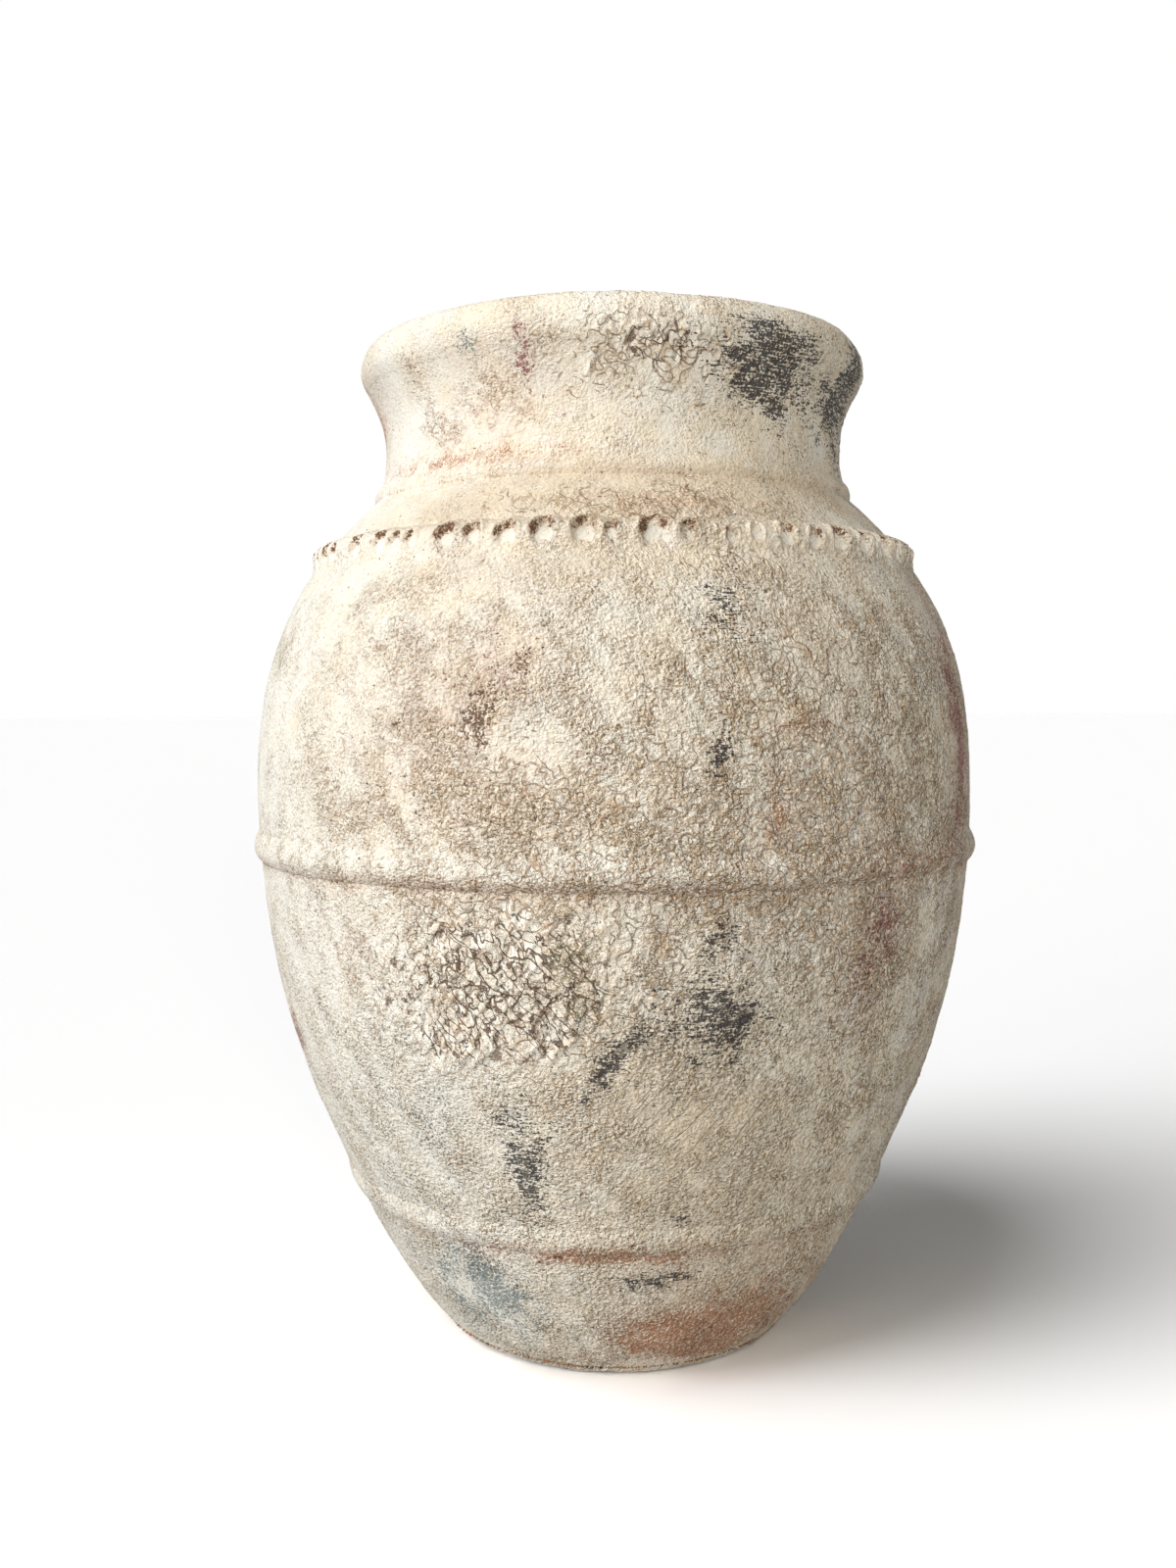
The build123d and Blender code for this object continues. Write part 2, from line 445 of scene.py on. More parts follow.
# Each row is a patch: its angle, height, width and length, then its tilt and strength.
FRONT_PATCHES: dict[Pigment, tuple[tuple[float, ...], ...]] = {
    Pigment.SOOT: (
        (39, 0.653, 0.074, 0.058, 0, 1.2), (31, 0.668, 0.050, 0.030, 0, 0.8),
        # The patch at 76 degrees darkens the neck's right edge, which faces away from the lamps:
        # partly soot and partly painted shade.
        (66, 0.655, 0.034, 0.070, 12, 1.5), (76, 0.638, 0.060, 0.100, 0, 0.6),
        (14, 0.419, 0.017, 0.028, 18), (17, 0.500, 0.034, 0.044, 0, 0.75),
        (16, 0.262, 0.042, 0.044, -20, 0.95), (14, 0.315, 0.018, 0.030, 10, 0.75),
        (-1, 0.236, 0.014, 0.046, 38, 1.2), (9, 0.262, 0.070, 0.070, 0, 0.5),
        (-15, 0.158, 0.030, 0.060, 0, 0.95), (-14, 0.200, 0.030, 0.040, 0, 0.5),
        (8, 0.085, 0.052, 0.012, -8), (12, 0.132, 0.014, 0.010, 0, 0.8),
        (38, 0.108, 0.040, 0.008, 0, 0.5),
    ),
    Pigment.WINE: (
        (-18, 0.663, 0.013, 0.032), (64, 0.423, 0.040, 0.130, 0, 1.3),
        (41, 0.315, 0.030, 0.058), (36, 0.270, 0.040, 0.040, 0, 0.45),
        (-19, 0.470, 0.040, 0.060, 35, 0.40),
    ),
    Pigment.SLATE: (
        (-31, 0.672, 0.016, 0.014), (-25, 0.066, 0.030, 0.046, -25, 0.95),
        (-34, 0.085, 0.080, 0.070, 0, 0.5), (-32, 0.200, 0.110, 0.080, 0, 0.5),
        (-60, 0.110, 0.140, 0.160, 0, 0.35), (-36, 0.040, 0.180, 0.070, 0, 0.35),
    ),
    Pigment.BLUSH: (
        (-28, 0.440, 0.170, 0.170, 0, 0.75), (-32, 0.630, 0.100, 0.055, 0, 0.9),
        (-45, 0.310, 0.090, 0.090, 0, 0.6), (-44, 0.640, 0.110, 0.060, 0, 0.5),
    ),
    Pigment.RUST: (
        (-36, 0.604, 0.150, 0.014, 0, 0.7), (-2, 0.106, 0.110, 0.012),
        (20, 0.030, 0.080, 0.030, 12, 1.4), (35, 0.046, 0.160, 0.074, 0, 0.8),
        (50, 0.350, 0.120, 0.016, 0, 0.6), (27, 0.435, 0.046, 0.011, 0, 0.6),
        (22, 0.384, 0.016, 0.028, 0, 0.7), (-14, 0.470, 0.030, 0.100, 42, 0.25),
        (68, 0.430, 0.070, 0.260, 0, 0.35), (-14, 0.343, 0.300, 0.008, 0, 0.25),
        (10, 0.570, 0.090, 0.014, 0, 0.45),
    ),
    Pigment.UMBER: (
        (-18, 0.439, 0.013, 0.028), (-30, 0.438, 0.016, 0.007, -30, 0.8),
        (-15, 0.462, 0.026, 0.090, 42, 0.52), (-4, 0.440, 0.060, 0.022, 20, 0.35),
        (-12, 0.385, 0.140, 0.020, 0, 0.35), (-26, 0.400, 0.100, 0.060, 0, 0.16),
    ),
    Pigment.GRIT: (
        (-38, 0.640, 0.110, 0.060, 0, 0.2), (-75, 0.470, 0.300, 0.560, 0, -0.75),
        (38, 0.370, 0.200, 0.220, 0, 0.4), (32, 0.140, 0.240, 0.240, 0, 0.5),
        (-10, 0.285, 0.180, 0.150, 0, 0.4), (10, 0.665, 0.130, 0.060, 0, 0.3),
    ),
    Pigment.MOSS: (
        (-5, 0.293, 0.036, 0.075, 0, 0.9),
    ),
    Pigment.LIME: (
        (33, 0.309, 0.024, 0.030), (31, 0.360, 0.040, 0.040, 0, 0.7),
        (41, 0.201, 0.022, 0.026), (-31, 0.255, 0.028, 0.032, 0, 0.8),
        (30, 0.129, 0.050, 0.012, 0, 0.9), (-3, 0.510, 0.060, 0.055, 0, 0.6),
        # The broad patches at -68, -62, -52, -46 and -40 degrees whiten the left side, where the
        # lamps fall: painted light, laid as lime.
        (-4, 0.430, 0.045, 0.060, 0, 0.5), (-68, 0.440, 0.260, 0.400, 0, 1.0),
        (-62, 0.640, 0.100, 0.090, 0, 0.6), (-52, 0.270, 0.140, 0.120, 0, 0.6),
        (-40, 0.060, 0.220, 0.160, 0, 0.9), (-46, 0.190, 0.200, 0.160, 0, 0.6),
        (-24, 0.200, 0.120, 0.120, 0, 0.4), (28, 0.400, 0.200, 0.120, 0, 0.8),
        (30, 0.500, 0.100, 0.100, 0, 0.4), (24, 0.300, 0.200, 0.090, 0, 0.8),
        (4, 0.354, 0.340, 0.016, 0, 1.0),
    ),
    Pigment.CRUST: (
        (-10, 0.296, 0.090, 0.080, 25), (-17, 0.265, 0.090, 0.055, 0, 0.9),
        (-30, 0.270, 0.080, 0.080, 0, 0.5), (-25, 0.315, 0.080, 0.050, 0, 0.4),
        (10, 0.668, 0.095, 0.050, 0, 0.9), (31, 0.345, 0.050, 0.040, 0, 0.3),
    ),
    Pigment.FOLD: (
        (14, 0.392, 0.150, 0.060, 0, 0.6), (31, 0.365, 0.090, 0.080, 0, 1.0),
        (38, 0.312, 0.070, 0.080, 0, 0.9), (24, 0.470, 0.120, 0.120, 0, 0.5),
        (8, 0.662, 0.120, 0.050, 0, 0.4), (-8, 0.395, 0.100, 0.040, 0, 0.4),
        (-8, 0.300, 0.120, 0.100, 0, 0.6), (41, 0.201, 0.030, 0.030, 0, 1.0),
        (22, 0.330, 0.180, 0.060, 0, 0.6), (50, 0.400, 0.120, 0.120, 0, 0.5),
        (6, 0.568, 0.150, 0.022, 0, 0.6),
    ),
    Pigment.TAN: (
        (4, 0.572, 0.240, 0.034, 0, 1.0), (-30, 0.566, 0.160, 0.030, 0, 0.6),
        (34, 0.505, 0.110, 0.110, 10, 0.4), (26, 0.440, 0.120, 0.080, 0, 0.3),
        (-8, 0.528, 0.200, 0.024, 0, 0.6), (14, 0.215, 0.150, 0.110, 25, 0.7),
        (20, 0.588, 0.170, 0.026, 0, 1.0), (30, 0.100, 0.130, 0.120, 0, 0.7),
    ),
    Pigment.SCRAPE: (
        (14, 0.195, 0.130, 0.110, 0, 1.2), (16, 0.280, 0.080, 0.070, 0, 0.6),
    ),
}
FRONT_STAINS = [Stain(pigment, *row) for pigment, rows in FRONT_PATCHES.items() for row in rows]


@dataclass(frozen=True)
class WearPlan:
    """How the sides that face away are stained: the same pigments, scattered."""

    seed: int = 41
    count: int = 84
    angles: Span = (78.0, 296.0)
    heights: Span = (0.02, 0.69)
    widths: Span = (0.014, 0.080)
    slenderness: Span = (0.5, 1.6)
    tilts: Span = (-40.0, 40.0)
    strengths: Span = (0.45, 1.0)
    breadth: float = 1.6

    SHAPED: ClassVar[tuple[Pigment, ...]] = (
        Pigment.HOLLOW,
        Pigment.RIDGE,
        Pigment.DIP,
        Pigment.GRIT,
    )
    BROAD: ClassVar[tuple[Pigment, ...]] = (Pigment.BLUSH, Pigment.SLATE, Pigment.CRUST)

    def stains(self) -> list[Stain]:
        """Return the scattered patches."""
        draws = np.random.default_rng(self.seed)
        kinds = [p for p in Pigment if p not in self.SHAPED]
        made = []
        for i in range(self.count):
            kind = kinds[i % len(kinds)]
            width = draws.uniform(*self.widths)
            if kind in self.BROAD:
                width *= self.breadth
            angle = draws.uniform(*self.angles)
            height = draws.uniform(*self.heights)
            length = width * draws.uniform(*self.slenderness)
            tilt = draws.uniform(*self.tilts)
            strength = draws.uniform(*self.strengths)
            made.append(Stain(kind, angle, height, width, length, tilt, strength))
        return made


@dataclass(frozen=True)
class Crease:
    """A line all round, where a band's lower edge meets the wall: a wide rust wash and a thin dark
    umber line, both partly stain and partly painted shade in the crease.
    """

    height: float
    wash: float
    wash_spread: float
    line: float
    line_spread: float


CREASES = (
    Crease(0.3405, 0.34, 6.0 * MM, 0.50, 1.6 * MM),
    Crease(0.1035, 0.22, 6.0 * MM, 0.30, 1.6 * MM),
    Crease(0.5890, 0.25, 4.5 * MM, 0.35, 1.4 * MM),
)


@dataclass
class CoatPoints:
    """Points of the coat before it is worn, with their place round the jar."""

    places: np.ndarray

    def where(self, chosen: np.ndarray) -> "CoatPoints":
        """Return only the chosen points."""
        return CoatPoints(self.places[chosen])

    @property
    def radius(self) -> np.ndarray:
        """Each point's distance from the jar's axis."""
        return np.hypot(self.places[:, 0], self.places[:, 1])

    @property
    def angle(self) -> np.ndarray:
        """Each point's angle from the front, in degrees, to the right."""
        return np.degrees(np.arctan2(self.places[:, 0], -self.places[:, 1]))

    @property
    def height(self) -> np.ndarray:
        """Each point's height."""
        return self.places[:, 2]

    def across(self, angle: float) -> np.ndarray:
        """Return how far round the jar each point lies from an angle, to the right."""
        return np.radians((self.angle - angle + 180) % 360 - 180) * self.radius


@dataclass(frozen=True)
class FlakeSizes:
    """The flakes of the crust: lengths in metres, angles in degrees, spans in flakes."""

    height: float = 1.3 * MM
    grids: tuple[Triple, ...] = (
        (8.5 * MM, 20 * MM, 1.0),
        (5 * MM, 9 * MM, 0.4),
    )
    bends: tuple[Span, ...] = ((5.0 * MM, 19 * MM), (1.8 * MM, 6 * MM))
    bend_shifts: Span = (1.7, 8.3)
    lean: float = 34.0
    fall: float = -28.0
    stand: float = 0.35
    lift: float = 0.9
    curl: float = 0.35
    curl_edge: float = 0.14
    curl_span: Span = (0.0, 0.3)
    crack: float = 1.5
    crack_span: Span = (0.03, 0.26)
    crack_side: Span = (0.1, -0.2)
    least_crust: float = 0.01
    heavy_crust: Span = (0.15, 0.75)


@dataclass(frozen=True)
class ReliefSizes:
    """How far the coat rises and falls, in metres, and the noises that say where."""

    sway: float = 0.9 * MM
    sway_weave: Weave = Weave(150 * MM, 2)
    settle: float = 1.0 * MM
    lump: float = 0.45 * MM
    lump_weave: Weave = Weave(24 * MM, 2, 3.3)
    bare_weave: Weave = Weave(24 * MM, 2)
    curl: float = 1.8 * MM
    curl_size: float = 7 * MM
    curl_shifts: Triple = (2.3, 6.1, 11.9)
    curl_stretch: Triple = (1.0, 1.0, 0.85)
    fold: float = 1.2 * MM
    fold_weave: Weave = Weave(13 * MM, 2)
    fold_sharp: float = 3.0
    fold_least: float = 0.05
    fold_patchy: float = 0.3
    fold_crust: float = 0.9
    worm: float = 0.60 * MM
    worm_weave: Weave = Weave(4.6 * MM, 2, 4.4)
    worm_sharp: float = 2.2
    patch_weave: Weave = Weave(60 * MM, 1, 9.7)
    patch_span: Span = (-0.1, 0.6)
    grit_mean: float = 0.85
    grit_swing: float = 0.5
    grit_weave: Weave = Weave(45 * MM, 2, 6.2)
    grit_under_crust: float = 0.4
    dip_mean: float = 0.5
    dip_filled: float = 0.6
    crease_mean: float = 0.65
    crease_swing: float = 0.5
    crease_weave: Weave = Weave(40 * MM, 2)
    wave: float = 0.9 * MM
    wave_weave: Weave = Weave(180 * MM, 1, 5.1)
    wave_span: Span = (0.02, 0.15)
    mouth_lean: float = 0.009
    mouth_span: Span = (0.58, 0.68)
    throwing: float = 0.5 * MM
    throwing_pitch: float = 11 * MM
    throwing_bend: float = 1.5
    throwing_weave: Weave = Weave(60 * MM)
    flakes: FlakeSizes = FlakeSizes()


# Each pair is a height in metres and how gritty the coat is there.
COARSENESS = (
    (0.000, 0.80),
    (0.090, 0.85),
    (0.180, 0.95),
    (0.400, 0.95),
    (0.500, 0.85),
    (0.550, 0.55),
    (0.600, 0.35),
    (0.700, 0.45),
)


class CoatRelief:
    """How the worn coat rises and falls, and where its pigments lie."""

    SEEDS = (11, 12, 13)
    CELL_SEED = 14

    def __init__(self, sizes: ReliefSizes, stains: list[Stain]) -> None:
        """Draw the noises.

        Args:
            sizes: how far the coat rises and falls.
            stains: the patches of pigment.
        """
        self.sizes = sizes
        self.stains = stains
        self.broad, self.fine, self.crimp = (GradientNoise(seed) for seed in self.SEEDS)
        self.cells = CellNoise(self.CELL_SEED)

    def wave(self, coat: CoatPoints) -> np.ndarray:
        """Return how far the hand-built wall and its bands wander up and down."""
        s = self.sizes
        askew = -s.mouth_lean * coat.places[:, 0] * smooth_step(*s.mouth_span, coat.height)
        wander = s.wave * s.wave_weave.over(self.broad, coat.places) + askew
        return wander * smooth_step(*s.wave_span, coat.height)

    def marks(self, coat: CoatPoints) -> dict[Pigment, np.ndarray]:
        """Return each pigment's strength at each point; the lines under the bands are partly
        painted shade.
        """
        s = self.sizes
        made = {p: np.zeros(len(coat.places)) for p in Pigment}
        height = coat.height
        low, high = height.min(), height.max()
        for stain in self.stains:
            reach = stain.REACH * max(stain.length, stain.width) / 2
            if low - reach < stain.height < high + reach:
                made[stain.pigment] += stain.weight(coat, self.fine)
        worn = s.crease_mean + s.crease_swing * s.crease_weave.over(self.broad, coat.places)
        # Under each band, a rust wash and an umber line: partly stain and partly painted shade in
        # the crease.
        for crease in CREASES:
            off = height - crease.height
            made[Pigment.RUST] += crease.wash * np.exp(-((off / crease.wash_spread) ** 2)) * worn
            made[Pigment.UMBER] += crease.line * np.exp(-((off / crease.line_spread) ** 2)) * worn
        return made

    def plates(self, coat: CoatPoints) -> tuple[np.ndarray, np.ndarray]:
        """Return how high the crust's flakes stand, and where the cracks between them lie."""
        f = self.sizes.flakes
        flat = np.zeros((len(coat.places), 3))
        flat[:, 0] = np.radians(coat.angle) * coat.radius
        flat[:, 1] = coat.height
        bent = flat.copy()
        for reach, size in f.bends:
            for axis, shift in enumerate(f.bend_shifts):
                bent[:, axis] += reach * Weave(size, 1, shift).over(self.fine, flat)
        u, v = turned(bent[:, 0], bent[:, 1], f.lean)
        side, up = heading(f.fall + f.lean)
        rise, crack = np.zeros(len(flat)), np.zeros(len(flat))
        for width, length, share in f.grids:
            spread = np.stack([u / width, v / length, np.full(len(u), 0.5)], axis=1)
            edge, stand, away = self.cells.plates(spread)
            lifted = away[:, 0] * up + away[:, 1] * side
            curled = np.exp(-((edge / f.curl_edge) ** 2)) * smooth_step(*f.curl_span, lifted)
            rise += share * (f.stand * stand + f.lift * lifted + f.curl * curled)
            opened = (1 - smooth_step(*f.crack_span, edge)) * smooth_step(*f.crack_side, lifted)
            crack += f.crack * share * opened
        return rise, crack

    def outside(self, coat: CoatPoints) -> tuple[np.ndarray, dict[Pigment, np.ndarray]]:
        """Return how far the coat stands out at each point, and its pigments."""
        s, f = self.sizes, self.sizes.flakes
        marks = self.marks(coat)
        crust = np.clip(marks[Pigment.CRUST], 0, 1)
        places = coat.places
        curls = [Weave(s.curl_size, 1, shift).over(self.fine, places) for shift in s.curl_shifts]
        curled = (places + s.curl * np.stack(curls, axis=1)) * np.array(s.curl_stretch)
        rise = s.sway * s.sway_weave.over(self.broad, places) - s.settle
        rise += s.lump * s.lump_weave.over(self.broad, places)
        patchy = smooth_step(*s.patch_span, s.patch_weave.over(self.broad, places))
        marks[Pigment.GRIT] += np.interp(coat.height, *zip(*COARSENESS))
        marks[Pigment.GRIT] *= s.grit_mean + s.grit_swing * s.grit_weave.over(self.broad, places)
        marks[Pigment.GRIT] -= s.grit_under_crust * crust
        grit = np.clip(marks[Pigment.GRIT], 0, 1)
        fold = crests(s.fold_weave.over(self.crimp, curled), s.fold_sharp)
        worm = crests(s.worm_weave.over(self.fine, curled), s.worm_sharp)
        creased = grit * (s.fold_least + s.fold_patchy * patchy) + s.fold_crust * crust
        ridged = np.clip(creased + marks[Pigment.FOLD], 0, 1)
        rise += s.fold * ridged * fold + s.worm * grit * worm
        flaky = crust > f.least_crust
        plate, crack = np.zeros(len(places)), np.zeros(len(places))
        plate[flaky], crack[flaky] = self.plates(coat.where(flaky))
        heavy = smooth_step(*f.heavy_crust, crust)
        rise += f.height * heavy * plate
        marks[Pigment.RIDGE] = ridged * fold
        marks[Pigment.HOLLOW] = crack * heavy
        sunk = (1 - worm) * (1 - s.dip_filled * ridged * fold)
        marks[Pigment.DIP] = s.dip_mean + grit * (sunk - s.dip_mean)
        return rise, marks

    def inside(self, coat: CoatPoints) -> np.ndarray:
        """Return how far the bare inner face stands out, ringed by the maker's fingers."""
        s = self.sizes
        turns = coat.height / s.throwing_pitch + np.radians(coat.angle) / (2 * math.pi)
        bend = s.throwing_bend * s.throwing_weave.over(self.broad, coat.places)
        rings = np.sin(2 * math.pi * turns + bend)
        return s.throwing * rings + s.lump * s.bare_weave.over(self.broad, coat.places)


def placed(name: str, data: bpy.types.ID) -> bpy.types.Object:
    """Return a new object of the scene that shows some data."""
    made = bpy.data.objects.new(name, data)
    bpy.context.scene.collection.objects.link(made)
    return made


def meshed(name: str, bm: bmesh.types.BMesh) -> bpy.types.Object:
    """Return a new object of the scene with a finished mesh."""
    mesh = bpy.data.meshes.new(name)
    bm.to_mesh(mesh)
    bm.free()
    return placed(name, mesh)


@dataclass
class Station:
    """One point of a ring's section."""

    place: np.ndarray
    out: np.ndarray
    skin: float
    corner: bool = False


class Ring:
    """A piece that goes all round the jar: a section, spun, then worn."""

    STEPS = 896
    WEDGES = 32
    FRONT_DENSITY = 0.45
    WELD = 0.001 * MM

    def __init__(self, node: str, slot: ClaySlot) -> None:
        """Name the piece.

        Args:
            node: the node of the frame that it stands for.
            slot: the record's slot that its finish belongs to.
        """
        self.name = f"{node}_coat"
        self.node = node
        self.slot = slot
        self.stations: list[Station] = []
        self.closed = True

    def add(self, trace: Trace, start: float, end: float, spacing: float, skin: float) -> None:
        """Add stations along a line, with a corner at each end.

        Args:
            trace: the line.
            start: the run of the first station.
            end: the run of the last one, which may be lower.
            spacing: how far apart they are.
            skin: 1 for the coated outside, 0 for the bare inside.
        """
        count = max(2, int(abs(end - start) / spacing) + 1)
        runs = np.linspace(start, end, count)
        for i, (place, out) in enumerate(zip(trace.at(runs), trace.out(runs))):
            self.stations.append(Station(place, out, skin, i in (0, count - 1)))

    def spun(self) -> bpy.types.Object:
        """Return the section spun round the jar's axis, as a new object."""
        bm = bmesh.new()
        skin = bm.verts.layers.float.new("skin")
        out = bm.verts.layers.float_vector.new("out")
        corner = bm.verts.layers.float.new("corner")
        verts = []
        for station in self.stations:
            vert = bm.verts.new((station.place[0], 0, station.place[1]))
            vert[skin] = station.skin
            vert[out] = (station.out[0], 0, station.out[1])
            vert[corner] = float(station.corner)
            verts.append(vert)
        ends = [*verts[1:], verts[0]] if self.closed else verts[1:]
        edges = [bm.edges.new(pair) for pair in zip(verts, ends)]
        wedge = 2 * math.pi / self.WEDGES
        turn = {"cent": (0, 0, 0), "axis": (0, 0, 1)}
        steps = self.STEPS // self.WEDGES
        bmesh.ops.spin(bm, geom=[*verts, *edges], angle=wedge, steps=steps, **turn)
        bmesh.ops.spin(
            bm,
            geom=[*bm.verts, *bm.edges, *bm.faces],
            angle=2 * math.pi - wedge,
            steps=self.WEDGES - 1,
            use_duplicate=True,
            **turn,
        )
        bmesh.ops.remove_doubles(bm, verts=bm.verts, dist=self.WELD)
        bmesh.ops.recalc_face_normals(bm, faces=bm.faces)
        return meshed(self.name, bm)

    @staticmethod
    def layer(mesh: bpy.types.Mesh, name: str, field: str, width: int) -> np.ndarray:
        """Return one of the vertices' attributes, as rows."""
        values = np.zeros(len(mesh.vertices) * width)
        mesh.attributes[name].data.foreach_get(field, values)
        return values.reshape(-1, width)

    def press(self, coat: CoatPoints, marks: dict[Pigment, np.ndarray]) -> np.ndarray:
        """Return how far the piece's own form rises at each point; a plain wall has none."""
        return np.zeros(len(coat.places))

    def wear(self, mesh: bpy.types.Mesh, relief: CoatRelief) -> None:
        """Raise and colour the spun surface, and gather its facets towards the front.

        Args:
            mesh: the spun surface.
            relief: how it is worn.
        """
        places = self.layer(mesh, "position", "vector", 3)
        lean = self.layer(mesh, "out", "vector", 3)
        skin = self.layer(mesh, "skin", "value", 1)[:, 0]
        turn = np.arctan2(places[:, 1], places[:, 0])
        reach = np.hypot(places[:, 0], places[:, 1])
        turn -= self.FRONT_DENSITY * np.sin(turn + math.pi / 2)
        places[:, 0], places[:, 1] = reach * np.cos(turn), reach * np.sin(turn)
        out = np.stack([lean[:, 0] * np.cos(turn), lean[:, 0] * np.sin(turn), lean[:, 2]], axis=1)
        coat = CoatPoints(places)
        coated, bare = skin > 0, skin < 1
        rise = np.zeros(len(skin))
        rise[coated], marks = relief.outside(coat.where(coated))
        rise[coated] += self.press(coat.where(coated), marks)
        rise *= skin
        rise[bare] += (1 - skin[bare]) * relief.inside(coat.where(bare))
        moved = places + out * rise[:, None]
        moved[:, 2] += relief.wave(coat)
        mesh.vertices.foreach_set("co", moved.ravel())
        for pigment, strength in marks.items():
            laid = np.zeros(len(skin), dtype=np.float32)
            laid[coated] = np.clip(strength, 0, 1)
            held = mesh.attributes.new(pigment.value, "FLOAT", "POINT")
            held.data.foreach_set("value", laid)

    def sharpen(self, mesh: bpy.types.Mesh) -> None:
        """Mark the edges that run between corners of the section as sharp."""
        corner = self.layer(mesh, "corner", "value", 1)[:, 0]
        ends = np.zeros(len(mesh.edges) * 2, dtype=np.int32)
        mesh.edges.foreach_get("vertices", ends)
        sharp = corner[ends].reshape(-1, 2).min(axis=1) > 0.5
        mesh.attributes.new("sharp_edge", "BOOLEAN", "EDGE").data.foreach_set("value", sharp)

    def build(self, relief: CoatRelief, finish: bpy.types.Material) -> bpy.types.Object:
        """Make the piece.

        Args:
            relief: how its surface is worn.
            finish: its material.

        Returns:
            The finished piece, riding on the jar.
        """
        piece = self.spun()
        mesh = piece.data
        self.wear(mesh, relief)
        self.sharpen(mesh)
        for helper in ("out", "corner"):
            mesh.attributes.remove(mesh.attributes[helper])
        mesh.shade_smooth()
        mesh.update()
        mesh.materials.append(finish)
        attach(piece, BODY)
        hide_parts(self.node)
        return piece


@dataclass(frozen=True)
class Facets:
    """How closely a ring's section is divided, in metres."""

    outside: float = 1.4 * MM
    inside: float = 9.0 * MM
    seam: float = 6.0 * MM


class WallSection(Ring):
    """One section of the built-up wall, between two bevelled seams."""

    def __init__(self, node: str, outline: Outline, low: float, high: float) -> None:
        """Lay out the section.

        Args:
            node: the node of the frame that it stands for.
            outline: the jar's faces.
            low: the height of its lower seam on the outer face.
            high: the height of its upper seam there.
        """
        super().__init__(node, ClaySlot.WALL)
        outer, inner = outline.outer, outline.inner
        bottom, top = outer.run_at(low), outer.run_at(high)
        inner_bottom = self.seam_inside(outline, bottom)
        inner_top = self.seam_inside(outline, top)
        spacing = Facets()
        self.add(outer, bottom, top, spacing.outside, 1.0)
        self.bridge(outer, top, inner, inner_top, spacing.seam)
        self.add(inner, inner_top, inner_bottom, spacing.inside, 0.0)
        self.bridge(inner, inner_bottom, outer, bottom, spacing.seam)

    @staticmethod
    def seam_inside(outline: Outline, run: float) -> float:
        """Return the run of the inner face where the seam from a run of the outer face ends."""
        place = outline.outer.at(np.array([run]))[0]
        out = outline.outer.out(np.array([run]))[0]
        if place[1] <= SIZES.foot_edge[1]:
            return 0.0
        bevel = SIZES.lip_seam_bevel if place[1] >= SIZES.lip_root[1] else SIZES.seam_bevel
        normal = np.array(turned(out[0], out[1], 90 - bevel))
        side = (outline.inner.points - place) @ normal
        return float(outline.inner.run[np.argmax(side > 0)])

    def bridge(
        self, start: Trace, leave: float, end: Trace, arrive: float, spacing: float
    ) -> None:
        """Add the stations of a seam's face, between the last station and the next one."""
        a = start.at(np.array([leave]))[0]
        b = end.at(np.array([arrive]))[0]
        count = int(np.linalg.norm(b - a) / spacing)
        for share in np.linspace(0, 1, count + 2)[1:-1]:
            self.stations.append(Station(a + (b - a) * share, np.zeros(2), 0.0))


class BaseDisc(Ring):
    """The slab that the wall stands on, with its edge showing under the foot."""

    EDGE_WEAR = 1.2 * MM
    EDGE_SPACING = 0.9 * MM
    FLAT_SPACING = 14 * MM
    MARGIN_SPACING = 6 * MM
    EDGE_INSET = 8 * MM
    CENTRE = 0.02 * MM

    def __init__(self, node: str) -> None:
        """Lay out the section from the axis under the foot round to the axis on the floor."""
        super().__init__(node, ClaySlot.WALL)
        self.closed = False
        inset = SIZES.foot[0] - self.EDGE_INSET
        under = Trace.line((self.CENTRE, 0.0), (inset, 0.0))
        edge = Trace.line((inset, 0.0), SIZES.foot, SIZES.foot_edge).softened(self.EDGE_WEAR)
        margin = Trace.line(SIZES.foot_edge, SIZES.floor_edge)
        floor = Trace.line(SIZES.floor_edge, (self.CENTRE, SIZES.floor_edge[1]))
        self.stations.append(Station(np.zeros(2), np.zeros(2), 0.0))
        self.add(under, 0, under.length, self.FLAT_SPACING, 0.0)
        self.add(edge, 0, edge.length, self.EDGE_SPACING, 1.0)
        self.add(margin, 0, margin.length, self.MARGIN_SPACING, 0.0)
        self.add(floor, 0, floor.length, self.FLAT_SPACING, 0.0)
        self.stations.append(Station(np.array([0.0, SIZES.floor_edge[1]]), np.zeros(2), 0.0))
        for station in self.stations:
            if station.place[1] <= 0:
                station.out = np.zeros(2)
                station.skin = 0.0


class RimLip(Ring):
    """The rolled lip, from its seam over the top and down to the mouth's inner edge."""

    TOP_SPACING = 1.2 * MM
    COAT_DEPTH = 30 * MM
    MOUTH_MARGIN = 1 * MM

    def __init__(self, node: str, outline: Outline) -> None:
        """Lay out the lip's section."""
        super().__init__(node, ClaySlot.WALL)
        seam = WallSection.seam_inside(outline, outline.outer.length)
        end_height = outline.inner.at(np.array([seam]))[0][1]
        lip = outline.lip
        falling = lip.run > lip.length / 2
        end = float(lip.run[falling][np.argmax(lip.points[falling, 1] < end_height)])
        self.add(lip, 0, end, self.TOP_SPACING, 1.0)
        for station in self.stations:
            depth = SIZES.lip_top[1] - station.place[1]
            if station.place[0] < SIZES.mouth_edge[0] + self.MOUTH_MARGIN:
                station.skin = 1.0 - min(1.0, depth / self.COAT_DEPTH)


@dataclass(frozen=True)
class BandSizes:
    """One band's section, in metres.

    It has the height of its middle, its width along the wall, how far its crown stands out, and
    where the crown lies, as a share of the width from the lower edge.
    """

    height: float
    width: float
    proud: float
    crown: float


